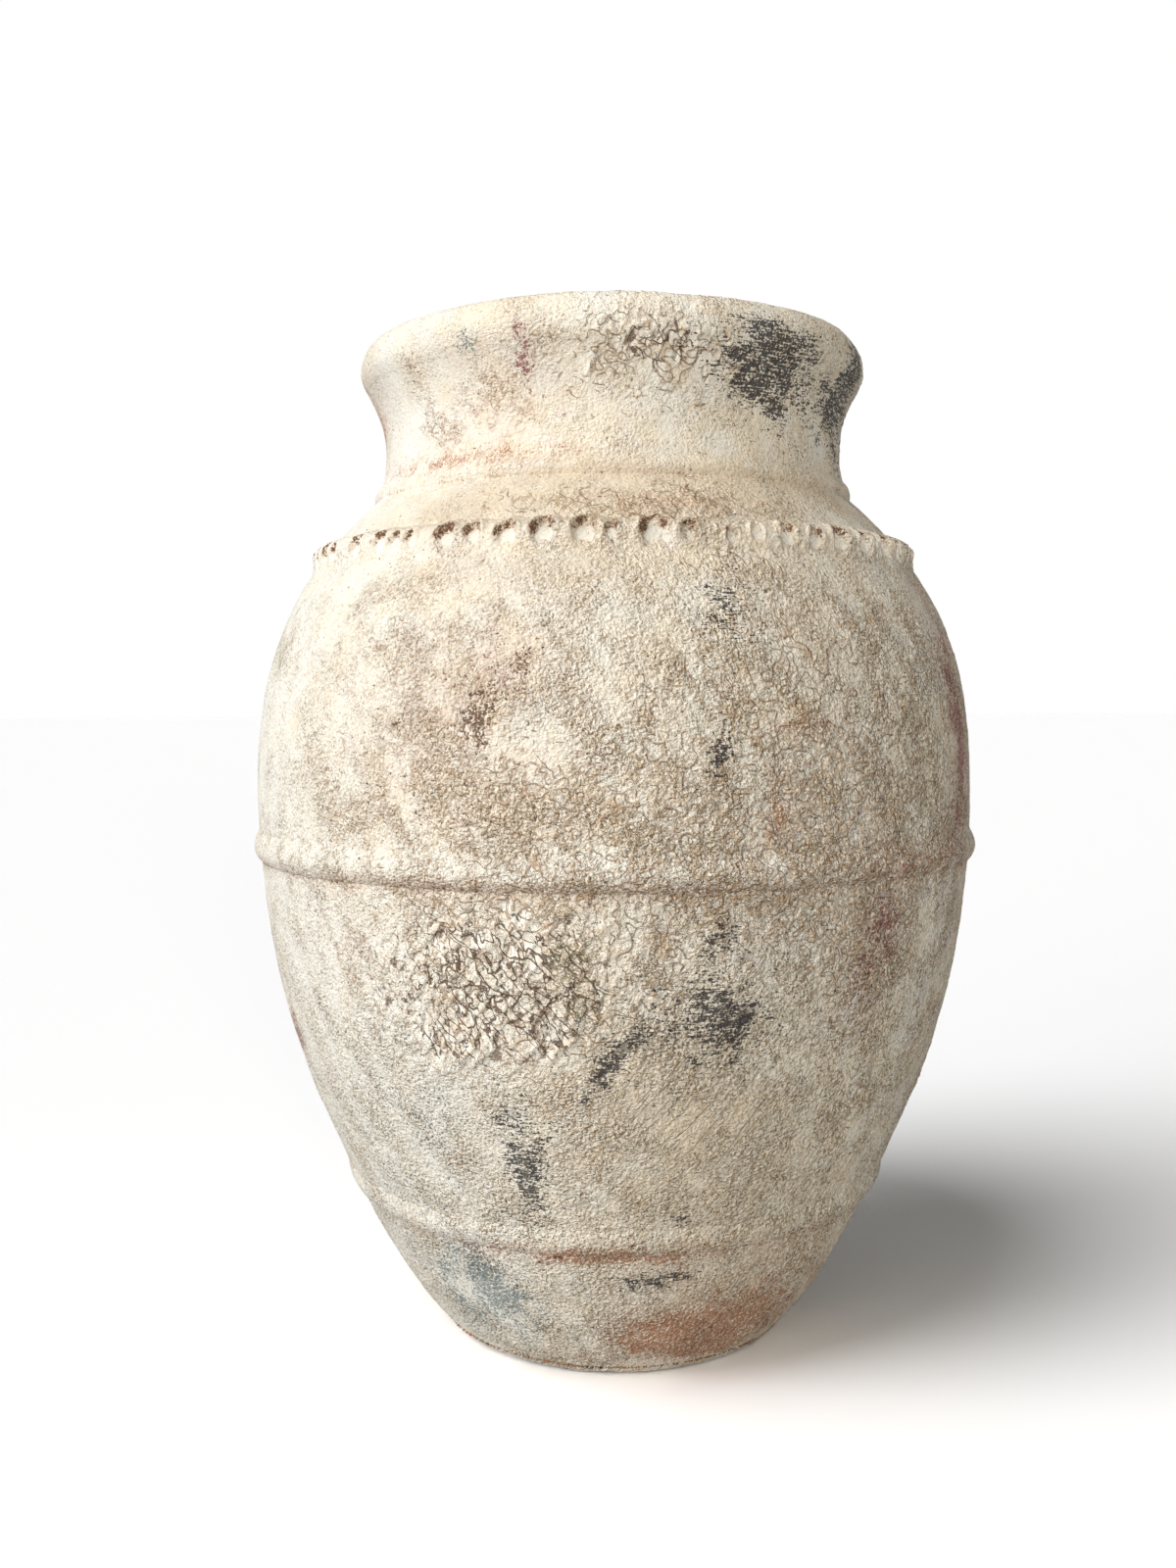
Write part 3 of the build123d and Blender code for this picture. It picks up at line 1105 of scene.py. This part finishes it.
BANDS = {
    "lower_band": BandSizes(0.115, 25 * MM, 2.8 * MM, 0.45),
    "belly_band": BandSizes(SIZES.belly_seam, 24 * MM, 4.4 * MM, 0.42),
    "neck_ring": BandSizes(SIZES.neck_seam, 14 * MM, 2.6 * MM, 0.5),
}
SHOULDER_BAND = BandSizes(SIZES.shoulder[1], 30 * MM, 6.4 * MM, 0.5)


class Band(Ring):
    """A band of clay pressed on over a seam, soft above and creased below."""

    SPACING = 1.0 * MM
    ROOT = 4.0 * MM
    TUCK = 0.7 * MM
    BACK_STATIONS = 4
    FLANKS = (0.75, 1.25)

    def __init__(self, node: str, trace: Trace, sizes: BandSizes) -> None:
        """Lay out the band's section.

        Args:
            node: the node of the frame that it stands for.
            trace: the wall's outer face.
            sizes: the section's sizes.
        """
        super().__init__(node, ClaySlot.BAND)
        width, crown = sizes.width, sizes.crown
        middle = trace.run_at(sizes.height)
        runs = np.linspace(middle - width / 2, middle + width / 2, int(width / self.SPACING) + 1)
        share = (runs - runs[0]) / width
        bent = np.where(share < crown, share / crown / 2, 0.5 + (share - crown) / (1 - crown) / 2)
        arch = np.clip(np.sin(math.pi * bent), 0, 1)
        swell = arch ** np.where(share < crown, self.FLANKS[0], self.FLANKS[1])
        stand = (sizes.proud + self.TUCK) * swell - self.TUCK
        places, outs = trace.at(runs), trace.out(runs)
        for place, out, rise in zip(places, outs, stand):
            self.stations.append(Station(place + out * rise, out, 1.0))
        back = np.linspace(runs[-1], runs[0], self.BACK_STATIONS)
        for place, out in zip(trace.at(back), trace.out(back)):
            self.stations.append(Station(place - out * self.ROOT, np.zeros(2), 0.0))


# Each pair is an impression's angle and its size beside the usual one.
FRONT_IMPRESSIONS = (
    (-59, 0.8), (-50.4, 1.0), (-43.2, 0.9), (-39, 0.7), (-35.3, 0.7), (-28.3, 1.0), (-23.1, 0.8),
    (-17.1, 1.0), (-11, 1.1), (-4.3, 1.1), (0, 0.6), (7, 1.35), (12.4, 0.7), (19.6, 0.6),
    (24.1, 0.6), (30, 0.8), (36, 0.8), (42, 1.0), (49, 1.0), (56.5, 1.1), (63, 1.0), (68.5, 1.0),
)


@dataclass(frozen=True)
class ThumbSizes:
    """The fingertip impressions: angles in degrees, lengths in metres, spans in fingertips."""

    seed: int = 23
    pitch: float = 6.0
    strays: Span = (-1.1, 1.1)
    sizes: Span = (0.75, 1.2)
    drops: Span = (-1.0, 1.5)
    half_width: float = 7.3 * MM
    half_height: float = 8.4 * MM
    depth: float = 4.2 * MM
    deepest: float = 1.15
    steep_span: Span = (0.70, 1.02)
    soft_span: Span = (0.40, 1.25)
    cusp: float = 1.4 * MM
    cusp_at: float = 1.2
    cusp_spread: float = 0.24
    cusp_span: Span = (-0.6, 0.5)
    # rim_at to rim_lean place a painted shadow in each impression's upper rim; shade_mean to rust
    # say how strongly it is painted, in umber and rust.
    rim_at: float = 0.92
    rim_spread: float = 0.20
    rim_span: Span = (-0.15, 0.6)
    rim_lean: float = 0.3
    floor_span: Span = (0.55, 0.85)
    rough_seed: int = 29
    rough_weave: Weave = Weave(9 * MM, 2)
    rough_edge: float = 0.10
    crumb: float = 0.6 * MM
    crumb_seed: int = 31
    crumb_weave: Weave = Weave(4 * MM, 2)
    shade_mean: float = 0.75
    shade_swing: float = 0.9
    shade_most: float = 1.4
    umber: float = 1.4
    rust: float = 0.9
    rust_wash: float = 0.06
    lime: float = 1.4
    smoothed: float = 0.5


class ThumbedBand(Band):
    """The shoulder band, with a row of fingertip impressions along its crown."""

    STEPS = 2048
    FLANKS = (1.6, 1.2)
    THUMB = ThumbSizes()

    def impressions(self) -> list[Span]:
        """Return each impression's angle and size, measured in front and uneven elsewhere."""
        draws = np.random.default_rng(self.THUMB.seed)
        made = list(FRONT_IMPRESSIONS)
        start, end = FRONT_IMPRESSIONS[-1][0], FRONT_IMPRESSIONS[0][0] + 360
        count = round((end - start) / self.THUMB.pitch)
        for i in range(1, count):
            angle = start + (end - start) * i / count + draws.uniform(*self.THUMB.strays)
            made.append((angle, draws.uniform(*self.THUMB.sizes)))
        return made

    def press(self, coat: CoatPoints, marks: dict[Pigment, np.ndarray]) -> np.ndarray:
        """Return how far the fingertips sank into the band; paint shadow in each impression's
        upper rim and lime on its floor.
        """
        t = self.THUMB
        draws = np.random.default_rng(t.seed + 1)
        rough = t.rough_weave.over(GradientNoise(t.rough_seed), coat.places)
        sunk, shade, pale = np.zeros((3, len(coat.places)))
        for where, size in self.impressions():
            drop = draws.uniform(*t.drops) * MM
            u = coat.across(where) / (t.half_width * size)
            v = (coat.height - SIZES.shoulder[1] - drop) / (t.half_height * size)
            away = np.sqrt(u * u + v * v) + t.rough_edge * rough
            steep, soft = (1 - smooth_step(*span, away) for span in (t.steep_span, t.soft_span))
            sunk += t.depth * min(size, t.deepest) * np.where(v > 0, steep, soft)
            lifted = np.exp(-(((away - t.cusp_at) / t.cusp_spread) ** 2))
            sunk -= t.cusp * (lifted * smooth_step(*t.cusp_span, v))
            rim = np.exp(-(((away - t.rim_at) / t.rim_spread) ** 2))
            shade += rim * smooth_step(*t.rim_span, v - t.rim_lean * u)
            pale += (1 - smooth_step(*t.floor_span, away)) * size
        ragged = np.clip(t.shade_mean + t.shade_swing * rough, 0, t.shade_most)
        floor = np.clip(pale, 0, 1)
        # The painted shadow in each impression's upper rim goes in as umber and rust; the floors
        # go in as lime.
        marks[Pigment.UMBER] += t.umber * shade * ragged
        marks[Pigment.RUST] += (t.rust * shade + t.rust_wash * (1 - floor)) * ragged
        marks[Pigment.LIME] += t.lime * floor
        marks[Pigment.GRIT] -= t.smoothed * floor
        crumbs = t.crumb_weave.over(GradientNoise(t.crumb_seed), coat.places)
        return t.crumb * crumbs * (1 - floor) - sunk


Socket = bpy.types.NodeSocket
Number = Union["Value", float]


class Value:
    """A socket that carries one number; arithmetic on it adds Math nodes."""

    def __init__(self, graph: "Graph", socket: Socket) -> None:
        """Wrap a socket of a graph."""
        self.graph = graph
        self.socket = socket

    def math(self, operation: str, *others: Number, clamp: bool = False) -> "Value":
        """Return a Math node's result on this value and others."""
        settings = {"operation": operation, "use_clamp": clamp}
        inputs = dict(enumerate([self, *others]))
        return Value(self.graph, self.graph.node("ShaderNodeMath", settings, inputs).outputs[0])

    def __add__(self, other: Number) -> "Value":
        """Add."""
        return self.math("ADD", other)

    def __sub__(self, other: Number) -> "Value":
        """Subtract."""
        return self.math("SUBTRACT", other)

    def __rsub__(self, other: Number) -> "Value":
        """Subtract from a number."""
        return (self * -1.0).math("ADD", other)

    def __mul__(self, other: Number) -> "Value":
        """Multiply."""
        return self.math("MULTIPLY", other)

    def __abs__(self) -> "Value":
        """Drop the sign."""
        return self.math("ABSOLUTE")

    __radd__ = __add__

    def clamped(self) -> "Value":
        """Return the value held between 0 and 1."""
        return self.math("ADD", 0.0, clamp=True)

    def step(self, low: float, high: float) -> "Value":
        """Return 0 below low, 1 above high and an eased value between."""
        settings = {"interpolation_type": "SMOOTHSTEP", "clamp": True}
        inputs = {"Value": self, "From Min": low, "From Max": high}
        node = self.graph.node("ShaderNodeMapRange", settings, inputs)
        return Value(self.graph, node.outputs["Result"])


Colour = Triple


class Graph:
    """A material's or the world's nodes, with short ways to add them."""

    def __init__(self, tree: bpy.types.NodeTree) -> None:
        """Start from an empty tree."""
        self.tree = tree
        tree.nodes.clear()

    def node(
        self, kind: str, settings: dict | None = None, inputs: dict | None = None
    ) -> bpy.types.Node:
        """Add any node.

        Args:
            kind: the node's type.
            settings: its own settings, which are set first.
            inputs: values or links for its sockets, by name or number.

        Returns:
            The new node.
        """
        made = self.tree.nodes.new(kind)
        for key, value in (settings or {}).items():
            setattr(made, key, value)
        for key, value in (inputs or {}).items():
            socket = made.inputs[key]
            if isinstance(value, Value):
                self.tree.links.new(value.socket, socket)
            elif isinstance(value, Socket):
                self.tree.links.new(value, socket)
            else:
                socket.default_value = value
        return made

    def attribute(self, name: str) -> Value:
        """Return a vertex attribute's value."""
        node = self.node("ShaderNodeAttribute", {"attribute_name": name})
        return Value(self, node.outputs["Fac"])

    def places(
        self, stretch: Triple = (1.0, 1.0, 1.0), turn: float = 0.0, shift: Triple = (0.0, 0.0, 0.0)
    ) -> Socket:
        """Return Object coordinates, turned about Y in degrees, then scaled and shifted."""
        source = self.node("ShaderNodeTexCoord").outputs["Object"]
        if turn:
            source = self.node(
                "ShaderNodeVectorRotate",
                {"rotation_type": "Y_AXIS"},
                {"Vector": source, "Angle": math.radians(turn)},
            ).outputs["Vector"]
        settings = {"operation": "MULTIPLY_ADD"}
        inputs = {0: source, 1: stretch, 2: shift}
        return self.node("ShaderNodeVectorMath", settings, inputs).outputs[0]

    def bent(self, places: Socket, size: float, reach: float) -> Socket:
        """Return places moved about by noise of some size, by up to half of some reach."""
        inputs = {"Vector": places, "Scale": 1 / size, "Detail": 1.0}
        drift = self.node("ShaderNodeTexNoise", None, inputs).outputs["Color"]
        inputs = {0: drift, 1: (reach,) * 3, 2: places}
        return self.node("ShaderNodeVectorMath", {"operation": "MULTIPLY_ADD"}, inputs).outputs[0]

    def seams(self, places: Socket, size: float) -> Value:
        """Return how far each place is from the edge of its cell, as a share of a cell's size."""
        inputs = {"Vector": places, "Scale": 1 / size}
        cells = self.node("ShaderNodeTexVoronoi", {"feature": "DISTANCE_TO_EDGE"}, inputs)
        return Value(self, cells.outputs["Distance"])

    def mix(self, share: Number, first: object, second: object) -> Socket:
        """Return one colour laid over another."""
        paint = [(*c, 1.0) if isinstance(c, tuple) else c for c in (first, second)]
        inputs = {0: share, 6: paint[0], 7: paint[1]}
        settings = {"data_type": "RGBA", "clamp_factor": True}
        return self.node("ShaderNodeMix", settings, inputs).outputs[2]


@dataclass(frozen=True)
class Grain:
    """One noise of the finish.

    The size of its largest features is in metres. The detail says how many finer octaves it has,
    the bend how far it winds about, and the sharpness how narrow its crests are.
    """

    size: float
    detail: float = 0.0
    bend: float = 0.0
    sharp: float = 0.0

    ROUGHNESS: ClassVar[float] = 0.6

    def over(self, graph: Graph, places: Socket) -> Value:
        """Return the noise at some places, from 0 to 1."""
        inputs = {"Vector": places, "Scale": 1 / self.size, "Detail": self.detail}
        inputs |= {"Distortion": self.bend, "Roughness": self.ROUGHNESS}
        return Value(graph, graph.node("ShaderNodeTexNoise", None, inputs).outputs[0])

    def crests(self, graph: Graph, places: Socket) -> Value:
        """Return winding crests, from 0 to 1."""
        return 1.0 - (abs(self.over(graph, places) - 0.5) * self.sharp).clamped()


@dataclass(frozen=True)
class Blend:
    """A weighted sum of the finish's values, by name; with a span, it sets in over that span."""

    weights: dict[str, float]
    base: float = 0.0
    span: Span | None = None

    def made(self, values: dict[str, Number]) -> Value:
        """Return the sum."""
        total = sum((values[name] * weight for name, weight in self.weights.items()), self.base)
        return total.step(*self.span) if self.span else total


class Share:
    """A product of blends or of single values, by name."""

    def __init__(self, *factors: Blend | str, most: float = 1.0) -> None:
        """Keep the factors, and what the product comes to at most."""
        self.factors = factors
        self.most = most

    def made(self, values: dict[str, Number]) -> Value:
        """Return the product."""
        made = [values[f] if isinstance(f, str) else f.made(values) for f in self.factors]
        return math.prod(made[1:], start=made[0]) * self.most


def settled(mark: str, most: float) -> Share:
    """Return the share of a pigment that settles in the coat's recesses first."""
    return Share(Blend({mark: 0.36, "level": -1.0}, 0.20, (-0.04, 0.05)), most=most)


DERIVED: dict[str, Share] = {
    # tilt: the crumbs here less the crumbs up and to the left, towards the lamps; above 0 on the
    # lit side of each crumb and below 0 on its lee side, it sets the painted highlight and shade.
    "tilt": Share(Blend({"crumb": 1.0, "crumb_beside": -1.0})),
    "scratch": Share("scrapes", "scrape"),
    "shown": Share(
        Blend(
            {"gap": 0.35, "patch": 0.65, "grit": 0.08, "blush": 0.16, "fold": 0.24, "umber": 0.3},
            -0.64,
            (-0.02, 0.10),
        )
    ),
    "thread": Share("threads", "shown"),
    "veined": Share(
        Blend({"gap": 0.8, "fold": 0.6, "crust": 0.2, "grit": 0.1}, -0.56, (-0.04, 0.10))
    ),
    "vein": Share("veins", "veined"),
    "sealed": Share(Blend({"seams": 1.0}, span=(0.01, 0.06))),
    "crack": Share(
        Blend({"sealed": -1.0}, 1.0), Blend({"crust": 0.62, "gap": -1.0}, 0.02, (-0.06, 0.06))
    ),
    "level": Share(Blend({"grain": 0.75, "knot": 0.15, "dip": -0.12}, 0.12)),
    "smear": Share(Blend({"level": 1.1, "streak": 1.4}, -0.75)),
    "rugged": Share(Blend({"patch": 1.0}, span=(0.36, 0.62))),
    "rough": Share(
        Blend({"grit": 0.8}, 0.2), Blend({"rugged": 0.55}, 0.55), Blend({"crust": -0.5}, 1.0)
    ),
    "body": Share(Blend({"grain": 0.7, "crumb": 0.7, "knot": 0.2}), "rough"),
    "height": Share(
        Blend({"body": 1.0, "thread": 0.16, "vein": 0.30, "crack": -0.40, "scratch": -0.40})
    ),
    "stained": Share(Blend({"patch": 1.0}, span=(0.42, 0.66))),
    "dusty": Share(Blend({"stained": 0.10, "blush": 0.12, "grit": 0.06, "crust": -0.3}, 0.04)),
}

# Each blushed paint goes from one colour of the palette to another as the coat blushes; shade is
# the colour of the painted shadow beside the threads.
BLUSHED = {"wash": ("ochre", "peach"), "stroke": ("ochre", "rust"), "shade": ("shade_brown", "rust")}

LAYERS: tuple[tuple[str, Share], ...] = (
    ("lime", Share(Blend({"blotch": 1.0}, span=(0.40, 0.62)), most=0.8)),
    ("tan", Share(Blend({"cloud": 1.0}, span=(0.45, 0.70)), "tan_share")),
    ("peach", Share("blush", Blend({"blotch": 0.8}, 0.2), most=0.7)),
    ("lime", Share(Blend({"lime": 0.85, "crust": 0.7}))),
    ("chalk_and_highlight", Share("crust", most=0.6)),
    # Darker in the coat's low spots: partly dirt in the pits and partly painted shade in the
    # recesses.
    (
        "pit_dirt_and_shade",
        Share(
            Blend({"level": -1.0}, 0.44, (0.0, 0.06)),
            Blend({"grit": 0.26}, 0.05),
            Blend({"crust": -0.9}, 1.0),
        ),
    ),
    ("tan", Share("tan", Blend({"blotch": 0.7}, 0.2))),
    ("ochre", Share(Blend({"ridge": 1.0}, span=(0.1, 0.9)), most=0.30)),
    ("wash", Share("stained", Blend({"grit": 0.14}, 0.02), Blend({"crust": -0.8}, 1.0))),
    ("rust", settled("dusty", 0.75)),
    # Painted shade on the lee side of each crumb.
    ("pit_dirt_and_shade", Share(Blend({"tilt": -1.0}, span=(0.01, 0.12)), "rough")),
    # Painted highlight on the lit side of each crumb.
    ("chalk_and_highlight", Share(Blend({"tilt": 1.0}, span=(0.02, 0.14)), "rough", most=0.60)),
    ("stroke", Share("thread", Blend({"fold": 0.3}, 0.25))),
    # Painted shadow on the lower right of each thread.
    ("shade", Share(Blend({"threads_beside": 1.0, "threads": -1.0}), "shown", most=0.7)),
    ("stroke", Share("vein", most=0.6)),
    # Painted shadow on the lower right of each vein.
    ("shade_brown", Share(Blend({"veins_beside": 1.0, "veins": -1.0}), "veined", most=0.8)),
    ("umber", Share("crack", most=0.9)),
    ("slate", Share("slate", Blend({"blotch": 0.2}, 0.05))),
    ("slate", settled("slate", 0.8)),
    # Rust, heavier on the lee side of each crumb: partly stain and partly painted shade.
    ("rust", Share("rust", Blend({"blotch": 0.6, "tilt": -2.5}, 0.2))),
    ("rust", settled("rust", 0.7)),
    ("wine", Share("wine", Blend({"blotch": 0.4}, 0.1))),
    ("wine", settled("wine", 0.85)),
    ("umber", Share(Blend({"hollow": 1.0, "level": -0.8}, 0.4, (0.6, 1.05)), most=0.75)),
    ("umber", settled("umber", 0.9)),
    ("moss", settled("moss", 0.7)),
    ("soot", Share(Blend({"soot": 0.55, "smear": -1.0}, 0.08, (-0.05, 0.06)), most=0.92)),
    ("cream", Share("scratch", most=0.75)),
)


@dataclass(frozen=True)
class Palette:
    """The colours of the coat and of the bare clay, in linear light."""

    cream: Colour = (0.850, 0.760, 0.615)
    lime: Colour = (0.845, 0.832, 0.770)
    tan: Colour = (0.580, 0.460, 0.310)
    peach: Colour = (0.760, 0.580, 0.450)
    ochre: Colour = (0.680, 0.465, 0.265)
    pit_dirt_and_shade: Colour = (0.400, 0.295, 0.175)
    shade_brown: Colour = (0.290, 0.175, 0.095)
    umber: Colour = (0.130, 0.070, 0.040)
    rust: Colour = (0.370, 0.165, 0.080)
    soot: Colour = (0.036, 0.033, 0.036)
    wine: Colour = (0.270, 0.100, 0.090)
    slate: Colour = (0.140, 0.195, 0.215)
    moss: Colour = (0.290, 0.260, 0.140)
    chalk_and_highlight: Colour = (0.930, 0.880, 0.780)
    clay: Colour = (0.420, 0.205, 0.110)
    clay_dark: Colour = (0.250, 0.110, 0.060)


@dataclass(frozen=True)
class LimeCoat:
    """The worn lime coat, with painted highlight and shade in its colour: its noises, the places
    that they follow, and how it shines.
    """

    name: str = "lime_coat"
    palette: Palette = Palette()
    tan_share: float = 0.25
    grain: Grain = Grain(1.5 * MM, 0.0, 0.7)
    crumb: Grain = Grain(2.5 * MM, 1.0, 0.8)
    knot: Grain = Grain(3.4 * MM, 0.0, 0.9, 5.0)
    thread: Grain = Grain(5.0 * MM, 1.0, 0.7, 17.0)
    vein: Grain = Grain(11 * MM, 0.6, 0.9, 36.0)
    gap: Grain = Grain(7.0 * MM, 2.0)
    blotch: Grain = Grain(26 * MM, 5.0)
    patch: Grain = Grain(20 * MM, 5.0)
    cloud: Grain = Grain(120 * MM, 3.0)
    scrape: Grain = Grain(9.0 * MM, 1.0, 0.0, 34.0)
    streak: Grain = Grain(1.5 * MM, 2.0, 0.6)
    crack: float = 8.0 * MM
    crack_bend: Span = (7 * MM, 12 * MM)
    # beside: the shift up and to the left, towards the lamps, across which the painted highlight
    # and shade are read.
    beside: Triple = (-0.8 * MM, 0.0, 0.6 * MM)
    lean_stretch: Triple = (1.0, 1.0, 0.45)
    lean_turn: float = 38.0
    scrape_stretch: Triple = (1.0, 1.0, 0.03)
    scrape_turn: float = -38.0
    streak_stretch: Triple = (0.18, 0.18, 1.5)
    bare_span: Span = (0.35, 0.65)
    depth: float = 3.2 * MM
    roughness: float = 0.82
    roughness_swing: float = 0.16
    specular: float = 0.25

    def values(self, graph: Graph) -> dict[str, Number]:
        """Return the coat's marks, its noises and what is derived from them, by name."""
        even = graph.places()
        beside = graph.places(shift=self.beside)
        leaning = graph.places(self.lean_stretch, self.lean_turn)
        drawn = graph.places(self.scrape_stretch, self.scrape_turn)
        made: dict[str, Number] = {p.value: graph.attribute(p.value) for p in Pigment}
        made |= {
            "tan_share": self.tan_share,
            "grain": self.grain.over(graph, even),
            "crumb": self.crumb.over(graph, even),
            "crumb_beside": self.crumb.over(graph, beside),
            "knot": self.knot.crests(graph, even),
            "blotch": self.blotch.over(graph, even),
            "cloud": self.cloud.over(graph, even),
            "patch": self.patch.over(graph, leaning),
            "gap": self.gap.over(graph, even),
            "scrapes": self.scrape.crests(graph, drawn),
            "streak": self.streak.over(graph, graph.places(self.streak_stretch)),
            "threads": self.thread.crests(graph, even),
            "threads_beside": self.thread.crests(graph, beside),
            "veins": self.vein.crests(graph, even),
            "veins_beside": self.vein.crests(graph, beside),
            "seams": graph.seams(graph.bent(leaning, *self.crack_bend), self.crack),
        }
        for name, share in DERIVED.items():
            made[name] = share.made(made)
        return made

    def material(self) -> bpy.types.Material:
        """Return the finish as a material."""
        made = bpy.data.materials.new(self.name)
        made.use_nodes = True
        graph = Graph(made.node_tree)
        values = self.values(graph)
        relief = {"Strength": 1.0, "Distance": self.depth, "Height": values["height"]}
        bump = graph.node("ShaderNodeBump", None, relief)
        paints: dict[str, object] = asdict(self.palette)
        for name, (plain, blushed) in BLUSHED.items():
            paints[name] = graph.mix(values["blush"], paints[plain], paints[blushed])
        colour: object = self.palette.cream
        for paint, share in LAYERS:
            colour = graph.mix(share.made(values), colour, paints[paint])
        fired = values["blotch"].step(*self.bare_span)
        bare = graph.mix(fired, self.palette.clay, self.palette.clay_dark)
        shader = graph.node(
            "ShaderNodeBsdfPrincipled",
            None,
            {
                "Base Color": graph.mix(graph.attribute("skin"), bare, colour),
                "Roughness": values["grain"] * self.roughness_swing + self.roughness,
                "Specular IOR Level": self.specular,
                "Normal": bump.outputs["Normal"],
            },
        )
        graph.node("ShaderNodeOutputMaterial", None, {"Surface": shader.outputs[0]})
        return made


@dataclass(frozen=True)
class Lamp:
    """One broad light.

    The spread is how broad it looks from the jar, the turn where it hangs round the jar from
    the front to the right, and the rise how high above the horizon; all in degrees.
    """

    name: str
    strength: float
    spread: float
    turn: float
    rise: float
    colour: Colour = (1.0, 1.0, 1.0)

    def hang(self) -> None:
        """Hang the light."""
        lamp = bpy.data.lights.new(self.name, "SUN")
        lamp.color = self.colour
        lamp.energy = self.strength
        lamp.angle = math.radians(self.spread)
        hung = placed(self.name, lamp)
        swung, raised = math.radians(self.turn), math.radians(self.rise)
        level = math.cos(raised)
        towards = Vector((math.sin(swung) * level, -math.cos(swung) * level, math.sin(raised)))
        hung.rotation_euler = towards.to_track_quat("Z", "Y").to_euler()


@dataclass(frozen=True)
class Studio:
    """The floor, the light and the camera; lengths in metres, angles in degrees."""

    floor_half: float = 40.0
    floor_colour: float = 0.40
    floor_shown: float = 1.50
    floor_tint: Colour = (1.0, 1.0, 1.01)
    key: Lamp = Lamp("key", 1.80, 36.0, -68.0, 17.0)
    middle: Lamp = Lamp("middle", 0.6, 24.0, -38.0, 8.0, (1.0, 0.97, 0.93))
    front: Lamp = Lamp("front", 2.05, 24.0, 9.0, 5.0, (1.0, 0.96, 0.88))
    high: Lamp = Lamp("high", 1.25, 34.0, -50.0, 58.0)
    fill_strength: float = 0.06
    camera_back: float = 1.080
    camera_height: float = 0.450
    camera_pitch: float = 3.27
    camera_yaw: float = 0.97
    camera_roll: float = -0.30
    lens: float = 33.75
    sight: float = 200.0

    def seen(self, graph: Graph) -> Value:
        """Return 1 where a ray comes straight from the camera, or by a reflection or glass."""
        path = graph.node("ShaderNodeLightPath")
        total = Value(graph, path.outputs["Is Camera Ray"])
        for ray in ("Is Glossy Ray", "Is Transmission Ray"):
            total = total + Value(graph, path.outputs[ray])
        return total.clamped()

    def floor(self) -> None:
        """Lay the pale floor."""
        bm = bmesh.new()
        bmesh.ops.create_grid(bm, x_segments=1, y_segments=1, size=self.floor_half)
        floor = meshed("floor", bm)
        paint = bpy.data.materials.new("floor_paint")
        paint.use_nodes = True
        graph = Graph(paint.node_tree)
        plain = (self.floor_colour,) * 3
        shown = tuple(self.floor_shown * c for c in self.floor_tint)
        colour = graph.mix(self.seen(graph), plain, shown)
        matt = graph.node("ShaderNodeBsdfDiffuse", None, {"Color": colour})
        graph.node("ShaderNodeOutputMaterial", None, {"Surface": matt.outputs[0]})
        floor.data.materials.append(paint)

    def light(self) -> None:
        """Light the jar from the left, a little from the front, and from a pale room."""
        for lamp in (self.key, self.middle, self.front, self.high):
            lamp.hang()
        world = bpy.data.worlds.new("room")
        world.use_nodes = True
        bpy.context.scene.world = world
        graph = Graph(world.node_tree)
        seen = self.seen(graph)
        strength = seen + (1.0 - seen) * self.fill_strength
        inputs = {"Color": (1, 1, 1, 1), "Strength": strength}
        back = graph.node("ShaderNodeBackground", None, inputs)
        graph.node("ShaderNodeOutputWorld", None, {"Surface": back.outputs[0]})

    def camera(self) -> None:
        """Stand the camera in front, a little above the jar's middle."""
        lens = bpy.data.cameras.new("camera")
        lens.lens = self.lens
        lens.clip_end = self.sight
        camera = placed("camera", lens)
        aim = (
            Matrix.Rotation(math.radians(self.camera_yaw), 4, "Z")
            @ Matrix.Rotation(math.radians(90 - self.camera_pitch), 4, "X")
            @ Matrix.Rotation(math.radians(self.camera_roll), 4, "Z")
        )
        camera.matrix_world = Matrix.Translation((0, -self.camera_back, self.camera_height)) @ aim
        bpy.context.scene.camera = camera


class Jar:
    """The whole jar: its base, its wall sections, its lip and its bands."""

    BAND_TAN = 0.20

    def __init__(self) -> None:
        """Lay out every piece."""
        outline = Outline(SIZES)
        seams = (
            ("foot_wall", SIZES.foot_edge[1], SIZES.hip[1]),
            ("hip_wall", SIZES.hip[1], SIZES.lower_seam),
            ("lower_belly_wall", SIZES.lower_seam, SIZES.belly_seam),
            ("upper_belly_wall", SIZES.belly_seam, SIZES.upper_seam),
            ("upper_wall", SIZES.upper_seam, SIZES.shoulder[1]),
            ("shoulder_wall", SIZES.shoulder[1], SIZES.neck_seam),
            ("neck_collar", SIZES.neck_seam, SIZES.lip_root[1]),
        )
        self.rings: list[Ring] = [
            BaseDisc("base_disc"),
            *(WallSection(node, outline, low, high) for node, low, high in seams),
            RimLip("rim_lip", outline),
            *(Band(node, outline.outer, sizes) for node, sizes in BANDS.items()),
            ThumbedBand("thumbed_band", outline.outer, SHOULDER_BAND),
        ]

    def build(self) -> None:
        """Make every piece and report it."""
        relief = CoatRelief(ReliefSizes(), [*FRONT_STAINS, *WearPlan().stains()])
        finishes = {
            ClaySlot.WALL: LimeCoat().material(),
            ClaySlot.BAND: LimeCoat(name="band_coat", tan_share=self.BAND_TAN).material(),
        }
        for ring in self.rings:
            piece = ring.build(relief, finishes[ring.slot])
            log.info("%s: %d faces", piece.name, len(piece.data.polygons))


def main() -> None:
    """Build the jar and its studio."""
    logging.basicConfig(level=logging.INFO)
    log.info("the frame has %d nodes", len(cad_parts))
    bpy.context.scene.view_settings.view_transform = "Standard"
    Jar().build()
    studio = Studio()
    studio.floor()
    studio.light()
    studio.camera()


if __name__ == "__main__":
    main()
